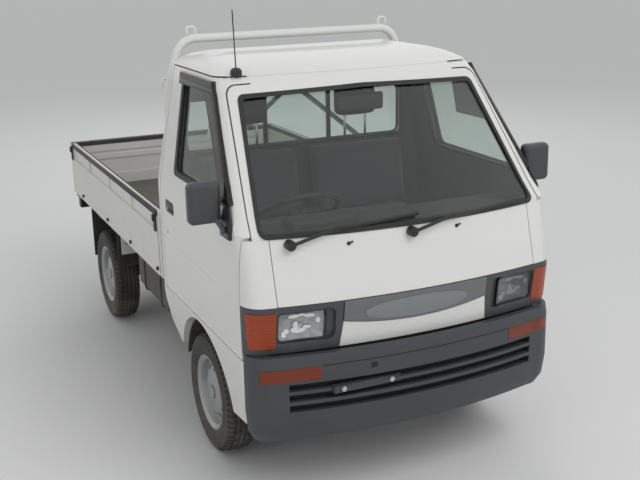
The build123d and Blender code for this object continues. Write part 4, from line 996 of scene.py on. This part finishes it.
class KEI_OT_plastics(bpy.types.Operator):
    """Bumper, lamp band, mirrors, wipers and antenna"""

    bl_idname = "kei_truck.plastics"
    bl_label = "Plastic parts"

    def execute(self, context):
        panel("bumper", "bumper_plastic", 0.004, 3)
        band = panel("lamp_band", "trim_plastic", 0.003, 3)
        repaint(band, "garnish", lambda centre, normal: abs(centre.x) < 0.3225)
        panel("wipers", "black_plastic", 0.001)
        panel("antenna", "black_plastic", 0.001)
        self.make_bumper_details()
        self.make_badge_plate()
        for index, (x, z) in enumerate(((-281, 1061), (196, 1070))):
            nozzle = drum("washer_nozzle_%d" % index, on_front(x, z, -2), on_front(x, z, 7), 0.008, 20, 0.006)
            fit(nozzle, "truck", "black_plastic", 0.0015)
            start, end = on_front(x + 6, z + 3, 3), on_front(x + 17, z + 7, 6)
            jet = drum("washer_jet_%d" % index, start, end, 0.0035, 12)
            fit(jet, "truck", "black_plastic")
        for name, side in SIDES.items():
            self.make_mirror(name, side)
        return {"FINISHED"}

    def make_mirror(self, name, side):
        """Mirror housing with its glass, and the plate that carries it on the door."""
        body = NODES["mirror_" + name]["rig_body"]
        panel("mirror_" + name, "trim_plastic", 0.003)
        outline = [place(side * x, 387.6, z) for x, z in corners(714, 816, 1152, 1289)]
        glass = plate("mirror_glass_" + name, rounded(outline, 0.012), Vector((0, 0.0014, 0)))
        fit(glass, body, "mirror_glass")
        outline = [on_side(side, d, z, 0.4) for d, z in MIRROR_SAIL]
        sail = plate("mirror_sail_" + name, rounded(outline, 0.018), Vector((side * 0.009, 0, 0)))
        fit(sail, body, "black_plastic", 0.003, 3)

    def make_bumper_details(self):
        """Painted shade: near-black sheet behind the slots and line in the groove; the plate's bolts and
        pads; towing cover.
        """

        bow, bow_reach = 70.0, 605.0
        half_shade_sheet, shade_sheet_depth, shade_sheet_low, shade_sheet_height = 566, 33, 412, 140

        def face(x, depth):
            return bow * (x / bow_reach) ** 2 + depth

        def shade_sheet_skin(u, v):
            x = half_shade_sheet * (2 * u - 1)
            return place(x, face(x, shade_sheet_depth), shade_sheet_low + shade_sheet_height * v)

        # Near-black sheet behind the bumper's slots: painted shade
        fit(sheet("bumper_slot_shade_sheet", shade_sheet_skin, 32, 4, 0.002), "truck", "black_and_painted_shade")
        bolt_z, half_pad = 505, 12
        for index, x in enumerate((-348.0, -138.0)):
            start = 4.0 if face(x, 0) < 8 else 6.0
            seat = place(x, start + 1, bolt_z)
            pad = block("plate_pad_%d" % index, place(x - half_pad, start, bolt_z - half_pad),
                        place(x + half_pad, 34, bolt_z + half_pad))
            fit(pad, "truck", "bumper_plastic", 0.002)
            bolt = drum("plate_bolt_%d" % index, seat, place(x, start - 5, bolt_z), 0.008, 6)
            fit(bolt, "truck", "bright_steel", 0.001)
            washer = drum("plate_washer_%d" % index, seat, place(x, start - 1.5, bolt_z), 0.0105, 24)
            fit(washer, "truck", "bright_steel")
        # Near-black line along the bumper's groove: painted shade
        groove_z, groove_end, groove_step = 607, 424, 53
        points = [place(x, face(x, -0.2), groove_z) for x in range(-groove_end, groove_end + 1, groove_step)]
        fit(bead("bumper_groove_shade", points, 0.0018), "truck", "black_and_painted_shade")
        x, z, half_x, half_z = -213.0, 580.0, 14, 12
        start = face(x, -1.2)
        cover = block("towing_cover", place(x - half_x, start, z - half_z),
                      place(x + half_x, start + 6, z + half_z))
        fit(cover, "truck", "black_and_painted_shade", 0.003, 3)

    def make_badge_plate(self):
        """Bare raised plate on the strip between the headlamps, with the strip's end seams."""
        middle_x, middle_z, half = -6, 788, 230
        below, above = 45, 40

        def skin(u, v):
            turn = math.pi * (u - 0.5) * 0.985
            reach = math.cos(turn) ** 0.85
            height = middle_z - below * reach + (below + above) * reach * v
            dome = 1 - (2 * v - 1) ** 2
            return on_front(middle_x + half * math.sin(turn), height, 5.2 + 3.0 * dome * reach)

        fit(sheet("bare_badge_plate", skin, 48, 10, 0.004), "truck", "badge_grey")
        for name, side in SIDES.items():
            points = [on_front(side * 323, z, 2.2) for z in (769, 795, 820, 845)]
            fit(bead("strip_seam_" + name, points, 0.0016), "truck", "black_and_painted_shade")


class KEI_OT_interior(bpy.types.Operator):
    """Seats, dash, steering wheel and floor"""

    bl_idname = "kei_truck.interior"
    bl_label = "Interior"

    def execute(self, context):
        coat("cab_floor", "floor_mat")
        panel("dash", "dash_plastic", 0.010, 4)
        panel("steering_wheel", "black_plastic", 0.002)
        self.make_dash_details()
        self.make_head_details()
        self.make_controls()
        self.make_seats()
        return {"FINISHED"}

    def make_dash_details(self):
        """Instrument hood and four vents."""
        hood = block("instrument_hood", place(-440, 268, 1070), place(-140, 385, 1118))
        fit(hood, "truck", "dash_plastic", 0.018, 4)
        for index, x in enumerate((-545, -60, 60, 545)):
            vent = block("dash_vent_%d" % index, place(x - 42, 500, 1000), place(x + 42, 512, 1046))
            fit(vent, "truck", "black_plastic", 0.004)

    def make_head_details(self):
        """Inner mirror, sun visors, and the doors' arm rests."""
        housing = block("inner_mirror", place(-100, 556, 1480), place(122, 584, 1554))
        fit(housing, "truck", "black_plastic", 0.0135, 5)
        points = [place(20, 572, 1540), place(20, 585, 1580), place(20, 600, 1622)]
        fit(bead("inner_mirror_stalk", points, 0.006), "truck", "black_plastic")
        for name, side in SIDES.items():
            visor = block("sun_visor_" + name, place(side * 90, 612, 1586), place(side * 500, 768, 1602))
            fit(visor, "truck", "headliner", 0.007, 3)
            rest = block("arm_rest_" + name, place(side * 656, 560, 905), place(side * 612, 900, 950))
            fit(rest, "door_" + name, "door_trim", 0.012, 4)

    def make_controls(self):
        """Gear lever with its knob, and three hanging pedals."""
        lever = bead("gear_lever", [place(-20, 560, 640), place(-20, 575, 800), place(-25, 640, 905)], 0.007)
        fit(lever, "truck", "black_plastic")
        knob = drum("gear_knob", place(-25, 636, 895), place(-26, 655, 940), 0.022, 32, 0.017)
        fit(knob, "truck", "black_plastic", 0.008, 4)
        for index, x in enumerate((-420, -330, -225)):
            pedal = block("pedal_%d" % index, place(x - 26, 372, 716), place(x + 26, 384, 776))
            fit(pedal, "truck", "black_plastic", 0.004)
            points = [place(x, 376, 770), place(x, 340, 815), place(x, 300, 850)]
            fit(bead("pedal_arm_%d" % index, points, 0.006), "truck", "frame_black")

    def make_seats(self):
        """Padded cushions, backs and headrests from the seats' own solids, on their steel posts."""
        whole = link("seat_parts", NODES["seats"].data.copy())
        open_mesh(whole)
        bpy.ops.mesh.remove_doubles(threshold=WELD)
        bpy.ops.mesh.separate(type="LOOSE")
        bpy.ops.object.mode_set(mode="OBJECT")
        steel = []
        for part in list(bpy.context.selected_objects):
            low = [min(v.co[i] for v in part.data.vertices) for i in range(3)]
            high = [max(v.co[i] for v in part.data.vertices) for i in range(3)]
            side = "right" if low[0] + high[0] < 0 else "left"
            wide = high[0] - low[0] > 0.4
            if wide and high[2] < 1.0:
                self.pad(part, "cushion_" + side, *CUSHION)
            elif wide:
                self.pad(part, "backrest_" + side, *BACKREST)
            elif low[2] > 1.3:
                self.pad(part, "headrest_" + side, *HEADREST)
            else:
                steel.append(part)
        posts = fit(join("seat_posts", steel), "truck", "bright_steel", 0.001)
        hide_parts("seats")

    def pad(self, part, name, voxel, paint, fill):
        """Foam piece in its cover: remeshed, swollen by a short cloth simulation and smoothed."""
        part.name = name
        modify(part, "REMESH", mode="VOXEL", voxel_size=voxel)
        vertices = part.data.vertices
        middle = sum((v.co for v in vertices), Vector()) / len(vertices)
        rest = [middle + (v.co - middle) * PAD_SHRINK for v in vertices]
        for vertex, point in zip(part.data.vertices, rest):
            vertex.co = point
        cloth = part.modifiers.new("Cloth", "CLOTH")
        cloth.settings.use_pressure = True
        cloth.settings.uniform_pressure_force = 4.0
        cloth.settings.effector_weights.gravity = 0.0
        cloth.settings.quality = 4
        for step in range(1, PAD_STEPS + 1):
            bpy.context.scene.frame_set(step)
        activate(part)
        bpy.ops.object.modifier_apply(modifier="Cloth")
        bpy.context.scene.frame_set(1)
        for vertex, point in zip(part.data.vertices, rest):
            move = vertex.co - point
            if move.length > PAD_SWELL:
                vertex.co = point + move.normalized() * PAD_SWELL
        modify(part, "SMOOTH", factor=0.5, iterations=22)
        bpy.ops.object.shade_smooth()
        fit(part, "truck", paint)


class KEI_OT_bed(bpy.types.Operator):
    """Load floor, gates, headboard and guard frame, worn by loads"""

    bl_idname = "kei_truck.bed"
    bl_label = "Load bed"

    def execute(self, context):
        edge = context.scene.truck_sizes.panel_edge
        floor = panel("bed_floor", "bed_coating", edge)
        repaint(floor, "frame_black", lambda centre, normal: centre.z < 0.6385 and abs(centre.x) < 0.66)
        repaint(floor, "bed_enamel", lambda centre, normal: centre.z < 0.606 and abs(centre.x) > 0.55)
        panel("headboard", "bed_enamel", edge)
        panel("guard_frame", "cab_enamel", 0)
        panel("tailgate", "bed_enamel", edge)
        for name, side in SIDES.items():
            self.make_gate(name, side, edge)
        self.make_tail_rail()
        holder = block("plate_holder", place(-165, 3230.5, 425), place(165, 3235, 590))
        fit(holder, "truck", "frame_black", 0.002)
        return {"FINISHED"}

    def make_gate(self, name, side, edge):
        """Side gate with black hinges and foot, its rolled rail and its rubber stops."""
        body = "gate_" + name
        gate = panel(body, "bed_enamel", edge)
        repaint(gate, "frame_black", lambda centre, normal: abs(centre.x) > 0.6985 or centre.z < 0.6395)
        low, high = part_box("gate_right")
        stop_height, stop_sunk, stop_proud = 0.672, 0.001, 0.010
        ends = [[Vector((side * (HALF_WIDTH_BODY + out), y, up)) for out, up in RAIL_SECTION]
                for y in (low.y, high.y)]
        fit(solid("gate_rail_" + name, *ends), body, "worn_rail", 0.0012)
        for index, behind in enumerate((1330, 1845, 2355, 3000)):
            spot = Vector((HALF_WIDTH_BODY * side, place(0, behind, 0).y, stop_height))
            stop = drum("gate_stop_%s_%d" % (name, index), spot - Vector((side * stop_sunk, 0, 0)),
                        spot + Vector((side * stop_proud, 0, 0)), 0.011, 24, 0.009)
            fit(stop, body, "seal_rubber", 0.0015)

    def make_tail_rail(self):
        """Rolled rail on the tailgate, a little short of its ends."""
        low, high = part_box("tailgate")
        back, short, most = BUMPER_FACE + LENGTH, 0.0004, 0.0003
        ends = [[Vector((x, back + min(out, most), up)) for out, up in RAIL_SECTION]
                for x in (low.x + short, high.x - short)]
        fit(solid("tailgate_rail", *ends), "tailgate", "worn_rail", 0.0012)


class KEI_OT_running_gear(bpy.types.Operator):
    """Chassis, suspension, engine, tank, exhaust and mud flaps"""

    bl_idname = "kei_truck.running_gear"
    bl_label = "Running gear"

    def execute(self, context):
        for node in ("chassis", "front_suspension", "rear_suspension", "fuel_tank",
                     "knuckle_right", "knuckle_left"):
            panel(node, "frame_black", 0.002)
        panel("engine", "cast_metal", 0.006)
        panel("exhaust", "exhaust_steel", 0.002)
        self.make_spare_wheel()
        panel("mud_flaps", "seal_rubber", 0.001)
        self.make_tank_straps()
        return {"FINISHED"}

    def make_spare_wheel(self):
        """Spare wheel with a painted rim, and its carrier above it."""
        hub_x, rim_radius, carrier = -0.060, 0.149, 0.5
        hub_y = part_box("spare_wheel")[1].y - TYRE_RADIUS + 0.012

        def steel(centre, normal):
            return math.hypot(centre.x - hub_x, centre.y - hub_y) < rim_radius or centre.z > carrier

        repaint(panel("spare_wheel", "tyre_rubber", 0.004), "rim_paint", steel)

    def make_tank_straps(self):
        """Two steel straps round the fuel tank."""
        low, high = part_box("fuel_tank")
        outline = corners(low.x - 0.002, high.x - 0.012, low.z - 0.002, high.z + 0.001)
        for index, share in enumerate((0.22, 0.78)):
            y = low.y + (high.y - low.y) * share
            points = rounded([Vector((x, y, z)) for x, z in outline], 0.030)
            fit(bead("tank_strap_%d" % index, points, 0.004, True), "truck", "frame_black")


class KEI_OT_wheels(bpy.types.Operator):
    """Four tyres with a blocked tread on steel rims"""

    bl_idname = "kei_truck.wheels"
    bl_label = "Wheels"

    def execute(self, context):
        tyre = self.make_tyre(context.scene.truck_sizes)
        for row, y in AXLES.items():
            for name, side in SIDES.items():
                corner = "%s_%s" % (row, name)
                piece = twin(tyre, "tread_" + corner, Matrix.Translation((side * WHEEL_X, y, TYRE_RADIUS)))
                fit(piece, "wheel_" + corner, "tyre_rubber")
                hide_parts("tyre_" + corner)
                panel("rim_" + corner, "rim_paint", 0.0015)
        bpy.data.objects.remove(tyre)
        return {"FINISHED"}

    def make_tyre(self, sizes):
        """Tyre about the origin: a turned profile with four grooves, and blocks pushed in between them."""
        outer = TYRE_RADIUS
        half = TYRE_WIDTH / 2
        deep = sizes.tread_depth
        crown = [(0.150, 0.048), (0.158, 0.052), (0.166, 0.060), (0.180, half - 0.006),
                 (0.200, half - 0.0015), (0.216, half - 0.0005), (0.2165, half), (0.219, half),
                 (0.2195, half - 0.0005), (0.236, half - 0.003), (0.250, half - 0.008),
                 (outer - 0.006, half - 0.014), (outer - 0.0015, half - 0.021)]
        mouth, floor = 0.0035, 0.0022
        for groove in (0.034, 0.011):
            crown += [(outer - 0.0005, groove + mouth), (outer - deep, groove + floor),
                      (outer - deep, groove - floor), (outer, groove - mouth)]
        profile = crown + [(r, -x) for r, x in reversed(crown)] + crown[:1]
        steps = sizes.tread_blocks * 2
        tyre = lathe("tyre_pattern", profile, steps)

        def polar(centre):
            turn = math.atan2(centre.z, centre.y) % FULL_TURN
            return math.hypot(centre.y, centre.z), int(turn / (FULL_TURN / steps))

        def shoulder(centre, normal):
            radius, step = polar(centre)
            return radius > outer - 0.012 and 0.037 < abs(centre.x) < half - 0.009 and step % 2 == 0

        def middle(centre, normal):
            radius, step = polar(centre)
            band = 0.0146 < abs(centre.x) < 0.0304
            return radius > outer - 0.003 and band and step % 4 == (0 if centre.x > 0 else 2)

        for test, depth in ((shoulder, 0.0045), (middle, 0.003)):
            pick_faces(tyre, test)
            bpy.ops.mesh.extrude_region_shrink_fatten(TRANSFORM_OT_shrink_fatten={"value": -depth})
            bpy.ops.object.mode_set(mode="OBJECT")
        return shade(tyre, 28)


class KEI_OT_stage(bpy.types.Operator):
    """Pale floor, soft studio light and the camera"""

    bl_idname = "kei_truck.stage"
    bl_label = "Stage"

    def execute(self, context):
        deselect()
        bpy.ops.mesh.primitive_circle_add(vertices=96, radius=160, fill_type="NGON", location=(0, 0, -0.0005))
        floor = settle(bpy.context.object, "studio_floor")
        floor.data.materials.append(FINISHES["studio_floor"])
        context.scene.view_settings.view_transform = "Standard"
        self.make_world(context.scene)
        self.lamp("key_light", (1.5, -6.0, 6.5), 5.0, 215.0)
        self.lamp("fill_light", (-7.0, -3.0, 3.0), 4.0, 42.0)
        self.lamp("rim_light", (3.0, 6.5, 5.5), 4.0, 90.0)
        self.make_camera(context.scene)
        return {"FINISHED"}

    def make_world(self, scene):
        """Even light, with a brighter backdrop for the camera, for glass and for reflections."""
        world = bpy.data.worlds.new("studio")
        scene.world = world
        world.use_nodes = True
        tree = world.node_tree
        light = tree.nodes["Background"]
        light.inputs["Color"].default_value = (0.97, 0.985, 1.0, 1)
        light.inputs["Strength"].default_value = 0.50
        seen = new_node(tree, "ShaderNodeBackground", (("Color", (0.93, 0.935, 0.94, 1)), ("Strength", 1.0)))
        path = new_node(tree, "ShaderNodeLightPath").outputs
        direct = calculate(tree, "MAXIMUM", path["Is Camera Ray"], path["Is Transmission Ray"])
        direct = calculate(tree, "MAXIMUM", direct, path["Is Glossy Ray"])
        inputs = ((0, direct), (1, light.outputs[0]), (2, seen.outputs[0]))
        mix = new_node(tree, "ShaderNodeMixShader", inputs)
        tree.links.new(mix.outputs[0], tree.nodes["World Output"].inputs["Surface"])

    def lamp(self, name, spot, size, power):
        """Square lamp that shines on the truck's middle, and isn't seen in glass or paint."""
        data = bpy.data.lights.new(name, "AREA")
        data.shape = "SQUARE"
        data.size = size
        data.energy = power
        lamp = link(name, data)
        lamp.visible_glossy = False
        lamp.visible_transmission = False
        lamp.location = spot
        lamp.rotation_mode = "QUATERNION"
        lamp.rotation_quaternion = (Vector((0.0, 0.0, 0.8)) - Vector(spot)).to_track_quat("-Z", "Y")

    def make_camera(self, scene):
        """Camera at the photograph's place: at the front right, a little above the roof."""
        spot = (-1.91385, -4.89496, 2.15918)
        azimuth, elevation, roll = -0.425692, 0.283638, -0.0200705
        back = Vector((math.sin(azimuth) * math.cos(elevation), -math.cos(azimuth) * math.cos(elevation),
                       math.sin(elevation)))
        across = (-back).cross(Vector((0, 0, 1))).normalized()
        up = across.cross(-back)
        right = across * math.cos(roll) + up * math.sin(roll)
        top = -across * math.sin(roll) + up * math.cos(roll)
        data = bpy.data.cameras.new("camera")
        data.sensor_width = 36.0
        data.lens = 57.12
        data.clip_start = 0.05
        data.clip_end = 200.0
        camera = link("camera", data)
        turn = Matrix((right, top, back)).transposed().to_4x4()
        camera.matrix_world = Matrix.Translation(spot) @ turn
        scene.camera = camera


class KEI_PT_panel(bpy.types.Panel):
    """Everything that dresses the truck"""

    bl_idname = "KEI_PT_panel"
    bl_label = "Kei Truck"
    bl_space_type = "VIEW_3D"
    bl_region_type = "UI"
    bl_category = "Kei Truck"

    def draw(self, context):
        for group in (context.scene.truck_colours, context.scene.truck_sizes):
            box = self.layout.box()
            for name in group.__annotations__:
                box.prop(group, name)
        for operator in OPERATORS:
            self.layout.operator(operator.bl_idname)


OPERATORS = (KEI_OT_stage, KEI_OT_cab_panels, KEI_OT_glazing, KEI_OT_lamps, KEI_OT_plastics, KEI_OT_interior,
             KEI_OT_bed, KEI_OT_running_gear, KEI_OT_wheels)
CLASSES = (TruckColours, TruckSizes, *OPERATORS, KEI_PT_panel)


def register():
    for cls in CLASSES:
        bpy.utils.register_class(cls)
    bpy.types.Scene.truck_colours = PointerProperty(type=TruckColours)
    bpy.types.Scene.truck_sizes = PointerProperty(type=TruckSizes)


def unregister():
    del bpy.types.Scene.truck_colours
    del bpy.types.Scene.truck_sizes
    for cls in reversed(CLASSES):
        bpy.utils.unregister_class(cls)


def main():
    register()
    GROUPS.update(make_groups())
    make_finishes(bpy.context.scene.truck_colours)
    bpy.ops.kei_truck.stage()
    bpy.ops.kei_truck.cab_panels()
    bpy.ops.kei_truck.glazing()
    bpy.ops.kei_truck.lamps()
    bpy.ops.kei_truck.plastics()
    bpy.ops.kei_truck.interior()
    bpy.ops.kei_truck.bed()
    bpy.ops.kei_truck.running_gear()
    bpy.ops.kei_truck.wheels()
    deselect()


if __name__ == "__main__":
    main()
